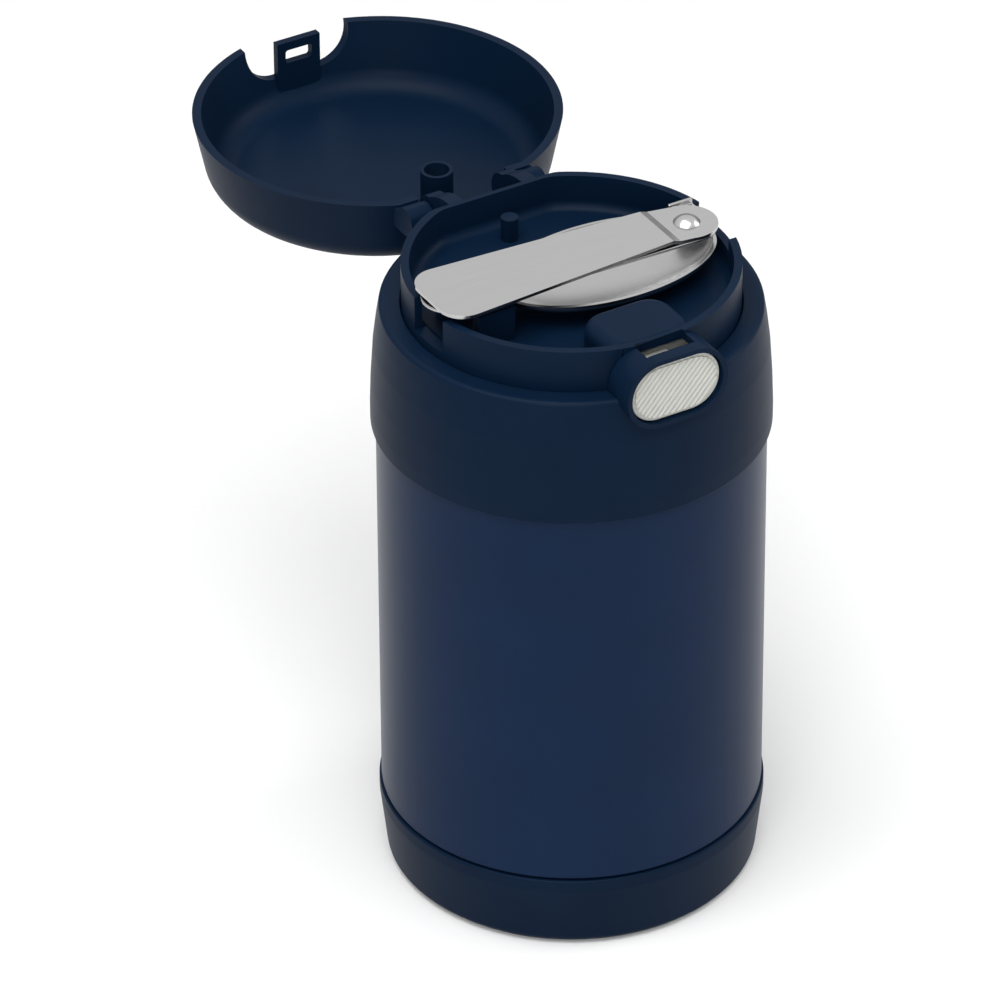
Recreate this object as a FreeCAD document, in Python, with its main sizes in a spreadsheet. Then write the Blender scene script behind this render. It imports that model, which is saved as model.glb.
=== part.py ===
import FreeCAD, Part
import math
import os
import Sketcher
from FreeCAD import Placement, Rotation, Vector

# Insulated food jar with a hinged cover, a folding spoon in its lid and a push button latch.
# Millimetres, +Z up, origin at the centre of the bottom, button to -Y, hinge to +Y.

SIZES = [
    ("body_radius", 44.2, "painted steel wall, outside"),
    ("steel_wall", 0.6, "sheet thickness of the outer shell"),
    ("base_height", 18.9, "top edge of the base cap"),
    ("base_proud", 0.5, "how far the base cap stands out past the steel"),
    ("base_foot_inset", 1.1, "how far the foot of the base cap stays behind the steel"),
    ("base_wall", 1.7, "wall of the base cap"),
    ("base_floor", 4.5, "height at which the steel bottom sits in the cap"),
    ("shoulder_height", 118.4, "where the steel wall starts to turn in"),
    ("neck_inset", 5.6, "steel neck inside the body wall"),
    ("neck_rise", 18.6, "steel neck above the steel wall"),
    ("vacuum_gap", 3.4, "space between the two steel walls"),
    ("liner_wall", 0.5, "sheet thickness of the inner liner"),
    ("liner_floor", 9.0, "inside floor of the jar"),
    ("lip_width", 3.1, "lip between the neck's outside and the mouth"),
    ("collar_overlap", 0.8, "how far the lid collar reaches down over the steel"),
    ("collar_proud", 1.2, "how far the lid collar stands out past the steel"),
    ("collar_lean", 2.3, "how far the lid collar leans in up to its top edge"),
    ("lid_rise", 10.9, "flat shoulder of the lid above the steel neck"),
    ("collar_wall", 2.0, "wall of the lid collar"),
    ("shoulder_width", 5.0, "flat shoulder from its edge to the tray"),
    ("tray_wall", 1.9, "wall of the tray"),
    ("tray_back_wall", 1.2, "flat back wall of the tray"),
    ("tray_rise", 10.0, "tray wall above the shoulder"),
    ("floor_rise", 1.4, "tray floor above the shoulder"),
    ("flat_depth", 3.5, "how deep the flat back cuts into the round tray"),
    ("hinge_back", 8.9, "hinge axis behind the tray's flat back"),
    ("hinge_rise", 2.6, "hinge axis above the shoulder"),
    ("hinge_radius", 3.4, "cover knuckles round the hinge axis"),
    ("ear_radius", 4.6, "tray ears round the hinge axis"),
    ("ear_inner", 7.6, "inner face of each tray ear"),
    ("ear_width", 3.8, "thickness of each tray ear"),
    ("knuckle_width", 6.0, "length of each cover knuckle"),
    ("pin_radius", 1.0, "hinge pins"),
    ("cover_inset", 0.2, "cover rim inside the edge of the shoulder"),
    ("cover_depth", 18.2, "height of the cover"),
    ("cover_wall", 2.1, "wall of the cover"),
    ("cover_draft", 3.7, "how far the cover wall leans in over its height"),
    ("cover_round", 7.85, "rounding of the cover's top edge"),
    ("cover_flat_gap", 4.1, "outside of the cover's flat back in front of the hinge axis"),
    ("cover_lift", 0.5, "space between the closed rim and the lid shoulder"),
    ("button_width", 22.7, "push button across"),
    ("button_height", 14.4, "push button up and down"),
    ("button_rise", 1.1, "centre of the push button above the shoulder"),
    ("button_inset", 0.7, "front of the push button behind the collar's widest part"),
    ("button_proud", 0.3, "how far the button stands out of its frame"),
    ("groove_pitch", 1.6, "slanted grooves of the button, one to the next"),
    ("groove_depth", 0.3, "depth of those grooves"),
    ("groove_margin", 1.1, "plain edge round the grooves"),
    ("spring_room", 12.3, "room behind the latch bar for its spring"),
    ("button_travel", 1.5, "how far the button is pressed"),
    ("bezel_margin", 1.45, "frame round the push button"),
    ("loop_width", 11.4, "catch loop across"),
    ("loop_wall", 1.9, "thickness of the catch loop"),
    ("loop_inset", 4.55, "middle of the catch loop inside the cover's rim"),
    ("post_inset", 7.5, "opening post in front of the tray's flat back"),
    ("post_radius", 2.0, "opening post"),
    ("post_drop", 2.9, "top of the opening post below the rim"),
    ("boss_wall", 0.85, "wall of the round boss that takes the post"),
    ("boss_reach", 4.4, "how far the boss reaches down over the post"),
    ("spoon_sheet", 0.8, "sheet thickness of the spoon pieces"),
    ("spoon_gap", 0.1, "space between two spoon pieces"),
    ("spoon_rise", 0.17, "link above the tray rim"),
    ("bowl_side_gap", 2.35, "side of the spoon bowl to the hump"),
    ("bowl_clear", 0.4, "tip of the bowl to the tray wall"),
    ("bowl_back", 19.0, "back of the bowl's hollow from the centre"),
    ("bowl_depth", 6.0, "depth of the spoon bowl"),
    ("neck_end_radius", 4.9, "round end of the bowl's neck"),
    ("link_radius", 6.8, "round ends of the link"),
    ("handle_ear_radius", 7.1, "round end of the handle"),
    ("rivet_radius", 1.6, "rivet shanks"),
    ("bowl_rivet_head", 2.9, "flat rivet head, radius"),
    ("bowl_rivet_rise", 0.6, "flat rivet head, height"),
    ("handle_rivet_head", 3.1, "domed rivet head, radius"),
    ("handle_rivet_rise", 1.5, "domed rivet head, height"),
    ("bowl_pivot_inset", 7.1, "rivet between bowl and link inside the tray's outside"),
    ("handle_pivot_inset", 9.1, "rivet between link and handle inside the tray's outside"),
    ("handle_pivot_y", 1.8, "that rivet's step to the front"),
    ("handle_inset", 0.8, "end of the handle inside the tray's outside"),
    ("handle_back", 10.0, "back corner of the handle's wide end"),
    ("handle_front", 12.2, "front corner of the handle's wide end"),
    ("handle_narrow", 14.5, "handle next to its pivot"),
    ("handle_jog", 0.6, "how far the handle steps up from its round end"),
    ("handle_corner", 6.0, "corners of the handle's wide end"),
    ("spring_wire", 0.7, "wire of the button spring"),
    ("spring_radius", 3.2, "middle radius of the button spring"),
    ("fit_gap", 0.1, "space between seated pieces"),
    ("move_gap", 0.35, "space beside pieces that move"),
    ("pin_gap", 0.05, "running clearance round pins and rivets"),
]

doc = FreeCAD.newDocument("food_jar")
sheet = doc.addObject("Spreadsheet::Sheet", "Sizes")


class Size:
    """A length that knows both its value and the sheet expression that gives it."""

    def __init__(self, value, text):
        self.value = value
        self.text = text

    def __add__(self, other):
        other = as_size(other)
        return Size(self.value + other.value, f"({self.text} + {other.text})")

    def __radd__(self, other):
        return as_size(other) + self

    def __sub__(self, other):
        other = as_size(other)
        return Size(self.value - other.value, f"({self.text} - {other.text})")

    def __rsub__(self, other):
        return as_size(other) - self

    def __mul__(self, other):
        other = as_size(other)
        return Size(self.value * other.value, f"({self.text} * {other.text})")

    __rmul__ = __mul__

    def __truediv__(self, other):
        other = as_size(other)
        return Size(self.value / other.value, f"({self.text} / {other.text})")

    def __neg__(self):
        return Size(-self.value, f"(-1 * {self.text})")


def as_size(number):
    if isinstance(number, Size):
        return number
    return Size(float(number), repr(float(number)))


class Sheet:
    """Named sizes, read as s.name."""


def fill_sheet():
    sizes = Sheet()
    for row, (name, value, what) in enumerate(SIZES, start=1):
        sheet.set(f"A{row}", name)
        sheet.set(f"B{row}", str(value))
        sheet.set(f"C{row}", what)
        sheet.setAlias(f"B{row}", name)
        setattr(sizes, name, Size(value, f"Sizes.{name}"))
    doc.recompute()
    return sizes


s = fill_sheet()

# Places that follow from the sizes: the body carries the neck, the neck the lid, the lid the rest.

foot_radius = s.body_radius - s.base_foot_inset
neck_radius = s.body_radius - s.neck_inset
neck_height = s.shoulder_height + s.neck_rise
mouth_radius = neck_radius - s.lip_width
collar_bottom = s.shoulder_height - s.collar_overlap
collar_radius = s.body_radius + s.collar_proud
collar_top_radius = collar_radius - s.collar_lean
shoulder_top = neck_height + s.lid_rise
tray_radius = collar_top_radius - s.shoulder_width
tray_rim = shoulder_top + s.tray_rise
tray_floor = shoulder_top + s.floor_rise
tray_flat = tray_radius - s.flat_depth
hinge_y = tray_flat + s.hinge_back
hinge_z = shoulder_top + s.hinge_rise
cover_radius = collar_top_radius - s.cover_inset
cover_flat = hinge_y - s.cover_flat_gap
button_z = shoulder_top + s.button_rise
button_face = collar_radius - s.button_inset
bezel_face = button_face - s.button_proud
loop_y = cover_radius - s.loop_inset
post_y = tray_flat - s.post_inset
post_top = tray_rim - s.post_drop
bowl_front = tray_radius - s.tray_wall - s.bowl_clear
bowl_pivot = tray_radius - s.bowl_pivot_inset
handle_pivot_x = tray_radius - s.handle_pivot_inset
handle_end = tray_radius - s.handle_inset


def bind(thing, name, size):
    size = as_size(size)
    thing.setExpression(name, size.text)


def place(thing, x=0, y=0, z=0):
    for axis, size in (("x", x), ("y", y), ("z", z)):
        if isinstance(size, Size) or size:
            bind(thing, f"Placement.Base.{axis}", size)
    return thing


def block(name, low, high):
    """A box from its low corner to its high corner."""
    thing = doc.addObject("Part::Box", name)
    for label, a, b in zip(("Length", "Width", "Height"), low, high):
        bind(thing, label, as_size(b) - as_size(a))
    return place(thing, *low)


AXES = {
    "x": Rotation(Vector(0, 1, 0), 90),
    "y": Rotation(Vector(1, 0, 0), -90),
    "z": Rotation(),
}


def rod(name, start, length, radius, axis="z"):
    """A cylinder that runs along an axis from its start point."""
    thing = doc.addObject("Part::Cylinder", name)
    thing.Placement = Placement(Vector(), AXES[axis])
    bind(thing, "Radius", radius)
    bind(thing, "Height", length)
    return place(thing, *start)


def dome(name, x, y, bottom, radius, height):
    """A round rivet head, cut from a ball so that it has this radius at its foot."""
    radius, height = as_size(radius), as_size(height)
    ball_radius = (radius * radius + height * height) / (2 * height)
    ball = doc.addObject("Part::Sphere", name + "_ball")
    bind(ball, "Radius", ball_radius)
    place(ball, x, y, bottom + height - ball_radius)
    return common(name, ball, rod(name + "_column", (x, y, bottom), height * 2, radius * 2))


def fuse(name, *things):
    made = doc.addObject("Part::MultiFuse", name)
    made.Shapes = list(things)
    made.Refine = True
    return made


def common(name, *things):
    made = doc.addObject("Part::MultiCommon", name)
    made.Shapes = list(things)
    return made


def cut(name, base, *tools):
    tool = tools[0] if len(tools) == 1 else fuse(name + "_tools", *tools)
    made = doc.addObject("Part::Cut", name)
    made.Base = base
    made.Tool = tool
    made.Refine = True
    return made


PLANES = {
    "xy": Rotation(),
    "xz": Rotation(Vector(1, 0, 0), 90),
    "yz": Rotation(Vector(1, 1, 1), 120),
}


def draw(sketch, points):
    """A closed outline of straight stretches, with every corner's place bound to the sizes."""
    corners = [(as_size(u), as_size(v)) for u, v in points]
    flat = [Vector(u.value, v.value, 0) for u, v in corners]
    for i, start in enumerate(flat):
        sketch.addGeometry(Part.LineSegment(start, flat[(i + 1) % len(flat)]), False)
    for i, corner in enumerate(corners):
        sketch.addConstraint(Sketcher.Constraint("Coincident", i, 2, (i + 1) % len(corners), 1))
        for kind, axis, size in (("DistanceX", -2, corner[0]), ("DistanceY", -1, corner[1])):
            if abs(size.value) < 1e-9:
                sketch.addConstraint(Sketcher.Constraint("PointOnObject", i, 1, axis))
                continue
            n = sketch.addConstraint(Sketcher.Constraint(kind, -1, 1, i, 1, size.value))
            sketch.setExpression(f"Constraints[{n}]", size.text)
    return sketch


def free_sketch(name, plane, points, offset=0):
    sketch = doc.addObject("Sketcher::SketchObject", name)
    sketch.Placement = Placement(Vector(), PLANES[plane])
    axis = {"xy": "z", "xz": "y", "yz": "x"}[plane]
    if isinstance(offset, Size) or offset:
        bind(sketch, f"Placement.Base.{axis}", offset)
    return draw(sketch, points)


def slab(name, plane, points, start, end):
    """An outline on a plane, drawn out from start to end along the plane's normal axis.
    On the xz plane the outline runs towards +Y."""
    sketch = free_sketch(name + "_outline", plane, points, start)
    made = doc.addObject("Part::Extrusion", name)
    made.Base = sketch
    made.DirMode = "Custom"
    made.Dir = {"xy": Vector(0, 0, 1), "xz": Vector(0, 1, 0), "yz": Vector(1, 0, 0)}[plane]
    made.Solid = True
    bind(made, "LengthFwd", as_size(end) - as_size(start))
    return made


def spun(name, points):
    """A ring or disc turned about Z from its half section (radius, height)."""
    sketch = free_sketch(name + "_section", "xz", points)
    made = doc.addObject("Part::Revolution", name)
    made.Source = sketch
    made.Axis = Vector(0, 0, 1)
    made.Base = Vector(0, 0, 0)
    made.Angle = 360
    made.Solid = True
    return made


def origin_feature(body, role):
    return [f for f in body.Origin.OriginFeatures if f.Role == role][0]


def turned(label, points, rounds=()):
    """A body turned about Z from its half section, with some of its edges rounded.
    Each round is (radius, [(edge radius, edge height), ...])."""
    body = doc.addObject("PartDesign::Body", label)
    sketch = body.newObject("Sketcher::SketchObject", label + "_section")
    sketch.AttachmentSupport = [(origin_feature(body, "XZ_Plane"), "")]
    sketch.MapMode = "FlatFace"
    draw(sketch, points)
    turn = body.newObject("PartDesign::Revolution", label + "_turn")
    turn.Profile = sketch
    turn.ReferenceAxis = (sketch, ["V_Axis"])
    turn.Angle = 360
    doc.recompute()
    for n, (radius, places) in enumerate(rounds):
        body.newObject("PartDesign::Fillet", f"{label}_round_{n}")
        fillet = body.Tip
        base = fillet.BaseFeature if fillet.BaseFeature else turn
        fillet.Base = (base, ring_edges(base.Shape, places))
        bind(fillet, "Radius", radius)
        doc.recompute()
    return body


def ring_edges(shape, places):
    """Names of the round edges about Z that lie at the given (radius, height) places."""
    wanted = [(as_size(r).value, as_size(z).value) for r, z in places]
    names = []
    for n, edge in enumerate(shape.Edges, start=1):
        if not isinstance(edge.Curve, Part.Circle):
            continue
        r, z = edge.Curve.Radius, edge.Curve.Center.z
        if any(abs(r - a) < 1e-3 and abs(z - b) < 1e-3 for a, b in wanted):
            names.append(f"Edge{n}")
    return names


def rounded(name, base, radius, wanted):
    """The base with the edges that pass the test rounded."""
    doc.recompute()
    made = doc.addObject("Part::Fillet", name)
    made.Base = base
    value = as_size(radius).value
    made.Edges = [(n, value, value) for n, edge in enumerate(base.Shape.Edges, start=1) if wanted(edge)]
    return made


def upright(edge):
    """A straight edge that runs along Z."""
    ends = [v.Point for v in edge.Vertexes]
    if len(ends) != 2:
        return False
    run = ends[1] - ends[0]
    return abs(run.x) + abs(run.y) < 1e-6


def near(edge, x=None, y=None, z=None):
    """The middle of an edge lies at the places that are given."""
    middle = edge.BoundBox.Center
    pairs = ((middle.x, x), (middle.y, y), (middle.z, z))
    return all(b is None or abs(a - as_size(b).value) < 0.02 for a, b in pairs)


def pair(name, thing):
    """The same piece on the other side of the middle plane x = 0."""
    made = doc.addObject("Part::Mirroring", name)
    made.Source = thing
    made.Base = Vector(0, 0, 0)
    made.Normal = Vector(1, 0, 0)
    return made


parts = {}


def keep(label, thing):
    thing.Label = label
    parts[label] = thing
    return thing


# Flask: two steel walls with a vacuum between them, standing in a base cap.

cap_bore = s.body_radius - s.base_wall
shell_seat = cap_bore - s.fit_gap
cap_edge = s.body_radius + s.base_proud
foot_inner = foot_radius * 0.79
lip = s.steel_wall
mouth_top = neck_height + lip
liner_outside = s.body_radius - s.steel_wall - s.vacuum_gap
liner_inside = liner_outside - s.liner_wall
liner_under = s.liner_floor - s.liner_wall
liner_corner = 6.0
liner_turn = s.shoulder_height - 6.0
throat = mouth_radius + s.liner_wall
dimple = 1.0


def make_base_cap():
    chamfer = 0.5
    foot = 1.5
    return turned("base_cap", [
        (0, foot - 0.3), (foot_inner - 1.2, foot - 0.3), (foot_inner, 0), (foot_radius - foot, 0),
        (foot_radius, foot), (cap_edge, s.base_height - 3), (cap_edge, s.base_height - chamfer),
        (cap_edge - chamfer, s.base_height), (cap_bore, s.base_height), (cap_bore, s.base_floor),
        (foot_inner - 4, s.base_floor), (foot_inner - 5, s.base_floor - foot), (0, s.base_floor - foot),
    ], [(0.4, [(cap_edge, s.base_height - chamfer)])])


def make_outer_shell():
    step = s.base_height + s.fit_gap
    top = s.shoulder_height
    wall = s.steel_wall
    return turned("outer_shell", [
        (shell_seat - wall, s.base_floor + wall), (shell_seat, s.base_floor + wall), (shell_seat, step),
        (s.body_radius - 0.5, step), (s.body_radius, step + 0.5), (s.body_radius, top),
        (s.body_radius - 1.2, top + 1.7), (s.body_radius - 3, top + 2.4), (neck_radius, top + 3),
        (neck_radius, neck_height), (neck_radius - wall, neck_height),
        (neck_radius - wall, top + 2.4), (s.body_radius - 3.2, top + 1.8),
        (s.body_radius - 1.6, top + 1.2), (s.body_radius - wall, top - 0.2),
        (s.body_radius - wall, step + 1.1), (shell_seat - wall, step + wall),
    ])


def make_bottom_plate():
    floor = s.base_floor
    wall = s.steel_wall
    return turned("bottom_plate", [
        (0, floor + dimple), (8, floor + dimple), (10, floor), (shell_seat, floor),
        (shell_seat, floor + wall), (10.2, floor + wall), (8.2, floor + dimple + wall),
        (0, floor + dimple + wall),
    ])


def make_inner_liner():
    return turned("inner_liner", [
        (0, liner_under), (liner_outside - liner_corner, liner_under),
        (liner_outside, liner_under + liner_corner), (liner_outside, liner_turn),
        (throat, liner_turn + 5.5), (throat, neck_height), (neck_radius, neck_height),
        (neck_radius, mouth_top), (mouth_radius, mouth_top), (mouth_radius, liner_turn + 5.2),
        (liner_inside, liner_turn - 0.2), (liner_inside, s.liner_floor + liner_corner - 0.3),
        (liner_inside - liner_corner + 0.3, s.liner_floor), (0, s.liner_floor),
    ], [(liner_corner * 0.8, [(liner_outside - liner_corner, liner_under)])])


def make_sealed_pieces():
    foil = turned("radiation_foil", [
        (liner_outside + 0.1, liner_under + 8), (liner_outside + 0.3, liner_under + 8),
        (liner_outside + 0.3, liner_turn - 2), (liner_outside + 0.1, liner_turn - 2),
    ])
    getter = turned("getter", [
        (0, s.base_floor + dimple + s.steel_wall), (5, s.base_floor + dimple + s.steel_wall),
        (5, s.base_floor + dimple + s.steel_wall + 1.2), (4.4, s.base_floor + dimple + s.steel_wall + 1.8),
        (0, s.base_floor + dimple + s.steel_wall + 1.8),
    ])
    seal = turned("vacuum_seal", [
        (0, s.base_floor + 0.2), (2.4, s.base_floor + 0.2), (3, s.base_floor + 0.6),
        (3, s.base_floor + dimple), (0, s.base_floor + dimple),
    ])
    return [("radiation_foil", foil), ("getter", getter), ("vacuum_seal", seal)]


keep("base_cap", make_base_cap())
keep("outer_shell", make_outer_shell())
keep("bottom_plate", make_bottom_plate())
keep("inner_liner", make_inner_liner())
for label, thing in make_sealed_pieces():
    keep(label, thing)

# Lid: collar, tray, foam, inner lid and gasket.

collar_hole = tray_radius + s.fit_gap + 0.05
collar_height = shoulder_top - collar_bottom
pin_end = s.ear_inner + s.ear_width + s.knuckle_width
tray_inside = tray_radius - s.tray_wall
inner_lid_under = mouth_top + 1.3
inner_lid_top = inner_lid_under + 1.0
tray_foot = inner_lid_top + s.fit_gap
skirt_inside = neck_radius + 0.4
skirt_outside = skirt_inside + 1.8
plug_outside = mouth_radius - 0.9
thin = 1.9
bezel_half_width = s.button_width / 2 + s.bezel_margin
bezel_half_height = s.button_height / 2 + s.bezel_margin
bezel_low = button_z - bezel_half_height
bezel_high = button_z + bezel_half_height
stem_half = s.button_width / 2 - 2.15
stem_low = button_z - 4.7
stem_high = button_z + 6.2
loop_front = loop_y + s.loop_wall / 2
loop_back = loop_y - s.loop_wall / 2
slot_half = s.loop_width / 2 + 0.5
plate_back = button_face - 2.1
stem_back = loop_front + s.button_travel + 0.2
bar_front = loop_back - s.button_travel - 0.9
bar_back = bar_front - 2
hump_half = stem_half + 1.7
hump_back = bar_back - s.button_travel - s.spring_room
hump_top = tray_rim - 0.6
above = tray_rim + 4


def latch_passage(name):
    """The space in the lid that the button's stem and bar slide in."""
    return block(name, (-(stem_half + s.move_gap), -(plate_back + 0.3), stem_low - 0.3),
                 (stem_half + s.move_gap, -(hump_back + 1.7), stem_high + 0.3))


def loop_slot(name):
    """The slot in the lid that the cover's catch loop drops into."""
    return block(name, (-slot_half, -(loop_front + 0.5), shoulder_top - 1.4),
                 (slot_half, -(loop_back - 0.5), above))


def front_block(name, half_width, low, high, front, back, corner):
    """A slab that faces the front, with all four of its corners rounded."""
    plain = block(name + "_slab", (-half_width, -front, low), (half_width, -back, high))

    def corners(edge):
        middle = edge.BoundBox.Center
        depth = as_size(front).value - as_size(back).value
        return abs(edge.BoundBox.YLength - depth) < 1e-3 and abs(middle.x) > 1

    return rounded(name, plain, corner, corners)


def make_lid_collar():
    ring = spun("collar_ring", [
        (collar_radius, collar_bottom), (collar_radius, collar_bottom + 2),
        (collar_radius - s.collar_lean * 0.11, collar_bottom + collar_height * 0.36),
        (collar_radius - s.collar_lean * 0.37, collar_bottom + collar_height * 0.66),
        (collar_top_radius + 0.7, shoulder_top - 4.5), (collar_top_radius, shoulder_top - 0.8),
        (collar_top_radius - 0.8, shoulder_top), (collar_hole, shoulder_top),
        (collar_hole, shoulder_top - s.collar_wall), (collar_top_radius - 2, shoulder_top - s.collar_wall),
        (collar_radius - s.collar_lean * 0.37 - s.collar_wall, collar_bottom + collar_height * 0.66),
        (collar_radius - s.collar_wall, collar_bottom + 4), (s.body_radius + 0.4, collar_bottom + 3),
        (s.body_radius + 0.4, collar_bottom),
    ])
    bezel = front_block("bezel", bezel_half_width, bezel_low, bezel_high, bezel_face,
                        tray_radius - 1, bezel_half_height - 0.05)
    solid = fuse("collar_solid", ring, bezel)
    opening = front_block("button_opening", s.button_width / 2 + s.move_gap,
                          button_z - s.button_height / 2 - s.move_gap,
                          button_z + s.button_height / 2 + s.move_gap, bezel_face + 5,
                          plate_back - s.button_travel - 0.3, s.button_height / 2 + s.move_gap - 0.05)
    bore = rod("tray_bore", (0, 0, bezel_low - 1), s.tray_rise * 3, collar_hole)
    hinge_room = block("hinge_room", (s.ear_inner - s.move_gap, hinge_y - s.hinge_radius - s.move_gap,
                                      hinge_z - s.hinge_radius - s.move_gap),
                       (pin_end + s.move_gap * 2, hinge_y + s.hinge_radius, shoulder_top + 1))
    top_slot = block("latch_window", (-slot_half, -(plate_back - 0.2), stem_high - 0.5),
                     (slot_half, -(loop_back - 0.5), above))
    return cut("collar_cut", solid, bore, opening, latch_passage("collar_passage"),
               loop_slot("collar_slot"), top_slot, hinge_room, pair("hinge_room_left", hinge_room))


def make_ear(side):
    """One tray ear: it leaves the wall at rim height and curves down round the hinge axis."""
    reach = hinge_y - tray_flat
    fall = tray_rim - hinge_z - s.ear_radius
    sweep = (reach * reach + fall * fall) / (2 * fall)
    outer = s.ear_inner + s.ear_width
    bottom = hinge_z - s.hinge_radius
    name = f"ear_{side}"
    web = block(name + "_web", (s.ear_inner, tray_flat - s.tray_back_wall, shoulder_top + s.fit_gap),
                (outer, hinge_y, tray_rim))
    arc = rod(name + "_arc", (s.ear_inner - 1, tray_flat, tray_rim - sweep), s.ear_width + 2, sweep, "x")
    knuckle = rod(name + "_round", (s.ear_inner, hinge_y, hinge_z), s.ear_width, s.ear_radius, "x")
    space = block(name + "_space", (s.ear_inner - 1, hinge_y - s.hinge_radius, bottom),
                  (outer + 1, hinge_y + s.ear_radius * 2, tray_rim))
    return fuse(name, common(name + "_curve", web, arc), common(name + "_knuckle", knuckle, space))


def d_shape(name, radius, flat, low, high, corner):
    """A round block with a flat back and rounded corners beside the flat."""
    round_block = rod(name + "_round", (0, 0, low), as_size(high) - as_size(low), radius)
    half = block(name + "_half", (-(radius + 5), -(radius + 5), as_size(low) - 1),
                 (radius + 5, flat, as_size(high) + 1))
    return rounded(name, common(name + "_plain", round_block, half), corner,
                   lambda edge: upright(edge) and near(edge, y=flat))


def make_lid_tray():
    drum = rod("tray_drum", (0, 0, tray_foot), shoulder_top - tray_foot, tray_radius)
    wall = d_shape("tray_wall_block", tray_radius, tray_flat, shoulder_top - 0.5, tray_rim, 5)
    ears = [make_ear("right")]
    ears.append(pair("ear_left", ears[0]))
    outside = fuse("tray_outside", drum, wall, *ears)
    well = d_shape("tray_well", tray_inside, tray_flat - s.tray_back_wall, tray_floor, above, 4)
    under = rod("tray_under", (0, 0, tray_foot - 1), tray_floor - thin - tray_foot + 1, tray_inside)
    left_notch = block("left_notch", (-(tray_radius + 1), -7.3, tray_floor + 0.4),
                       (-(tray_inside - 4), 4.4, above))
    right_notch = block("right_notch", (tray_inside - 4, -10.5, tray_rim - 3), (tray_radius + 1, 6.6, above))
    shell = cut("tray_shell", outside, well, under, left_notch, right_notch)
    post = rod("post", (0, post_y, tray_floor - 1), post_top - tray_floor + 1, s.post_radius)
    rest_left = -(bowl_pivot - 1.5)
    rest_right = rest_left + s.handle_pivot_inset
    near_rest = block("cradle_front", (rest_left, -9.8, tray_floor - 1), (rest_right, -7, tray_rim - 0.2))
    far_rest = block("cradle_back", (rest_left, 7, tray_floor - 1), (rest_right, 9.8, tray_rim - 0.2))
    hump_plain = block("hump_block", (-hump_half, -(tray_radius - 1), tray_floor - 1),
                       (hump_half, -hump_back, hump_top))
    hump = rounded("hump", hump_plain, 6, lambda edge: upright(edge) and near(edge, y=-hump_back))
    hump_round = rounded("hump_round", hump, 2.4,
                         lambda edge: near(edge, z=hump_top) and edge.BoundBox.Center.y > -tray_radius.value + 3)
    inside = common("hump_kept", hump_round,
                    rod("hump_limit", (0, 0, tray_floor - 2), s.tray_rise * 2, tray_radius - 0.5))
    solid = fuse("tray_solid", shell, post, near_rest, far_rest, inside)
    bore = rod("ear_bore", (-(s.ear_inner + s.ear_width + 1), hinge_y, hinge_z),
               (s.ear_inner + s.ear_width + 1) * 2, s.pin_radius + s.pin_gap / 2, "x")
    return cut("tray_cut", solid, latch_passage("tray_passage"), loop_slot("tray_slot"), bore)


def make_lid_foam():
    disc = rod("foam_disc", (0, 0, inner_lid_top + 0.2), tray_floor - thin - inner_lid_top - 0.4,
               tray_inside - 0.2)
    pocket = block("foam_pocket", (-(stem_half + 1), -tray_radius, stem_low - 0.6),
                   (stem_half + 1, -(hump_back + 1), above))
    return cut("foam_cut", disc, pocket)


def make_inner_lid():
    return turned("inner_lid", [
        (0, inner_lid_under), (plug_outside - 3, inner_lid_under), (plug_outside - 3, mouth_top - 6.5),
        (plug_outside - 0.6, mouth_top - 6.5), (plug_outside, mouth_top - 5.5),
        (plug_outside, inner_lid_under), (skirt_inside, inner_lid_under),
        (skirt_inside, s.shoulder_height + 4.2), (skirt_outside, s.shoulder_height + 4.2),
        (skirt_outside, inner_lid_top), (0, inner_lid_top),
    ])


def make_lid_gasket():
    low = mouth_top + s.fit_gap
    high = inner_lid_under - s.fit_gap
    return turned("lid_gasket", [
        (plug_outside + 0.2, low), (neck_radius - 0.2, low), (neck_radius - 0.2, high),
        (plug_outside + 0.2, high),
    ], [(0.3, [(neck_radius - 0.2, low)])])


keep("lid_collar", make_lid_collar())
keep("lid_tray", make_lid_tray())
keep("lid_foam", make_lid_foam())
keep("inner_lid", make_inner_lid())
keep("lid_gasket", make_lid_gasket())
for side, start in (("left", -(s.ear_inner + s.ear_width + s.knuckle_width)), ("right", s.ear_inner)):
    length = s.ear_width + s.knuckle_width
    keep(f"hinge_pin_{side}", rod(f"hinge_pin_{side}", (start, hinge_y, hinge_z), length, s.pin_radius, "x"))

# Cover: modelled closed, then turned over about the hinge axis to lie open.

rim_closed = shoulder_top + s.cover_lift
cover_top = rim_closed + s.cover_depth
ceiling = cover_top - s.cover_wall
knuckle_inner = s.ear_inner + s.ear_width + s.move_gap + 0.1


def drafted(name, radius, low, high, flat, corner, below=0):
    """A round block that leans in towards its top, with a flat back and a rounded top edge.
    It can run straight down below its low edge, as the cavity does to cut the rim open."""
    lean = s.cover_draft
    section = [(radius, low), (radius - lean, high), (0, high)]
    if below:
        section = [(0, low - below), (radius, low - below)] + section
    else:
        section = [(0, low)] + section
    plain = spun(name + "_turned", section)
    top = (as_size(radius) - lean).value
    soft = rounded(name + "_soft", plain, corner, lambda edge: near(edge, z=high)
                   and isinstance(edge.Curve, Part.Circle) and abs(edge.Curve.Radius - top) < 0.01)
    half = block(name + "_half", (-(radius + 5), -(radius + 5), low - below - 1), (radius + 5, flat, high + 1))
    return common(name, soft, half)


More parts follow.
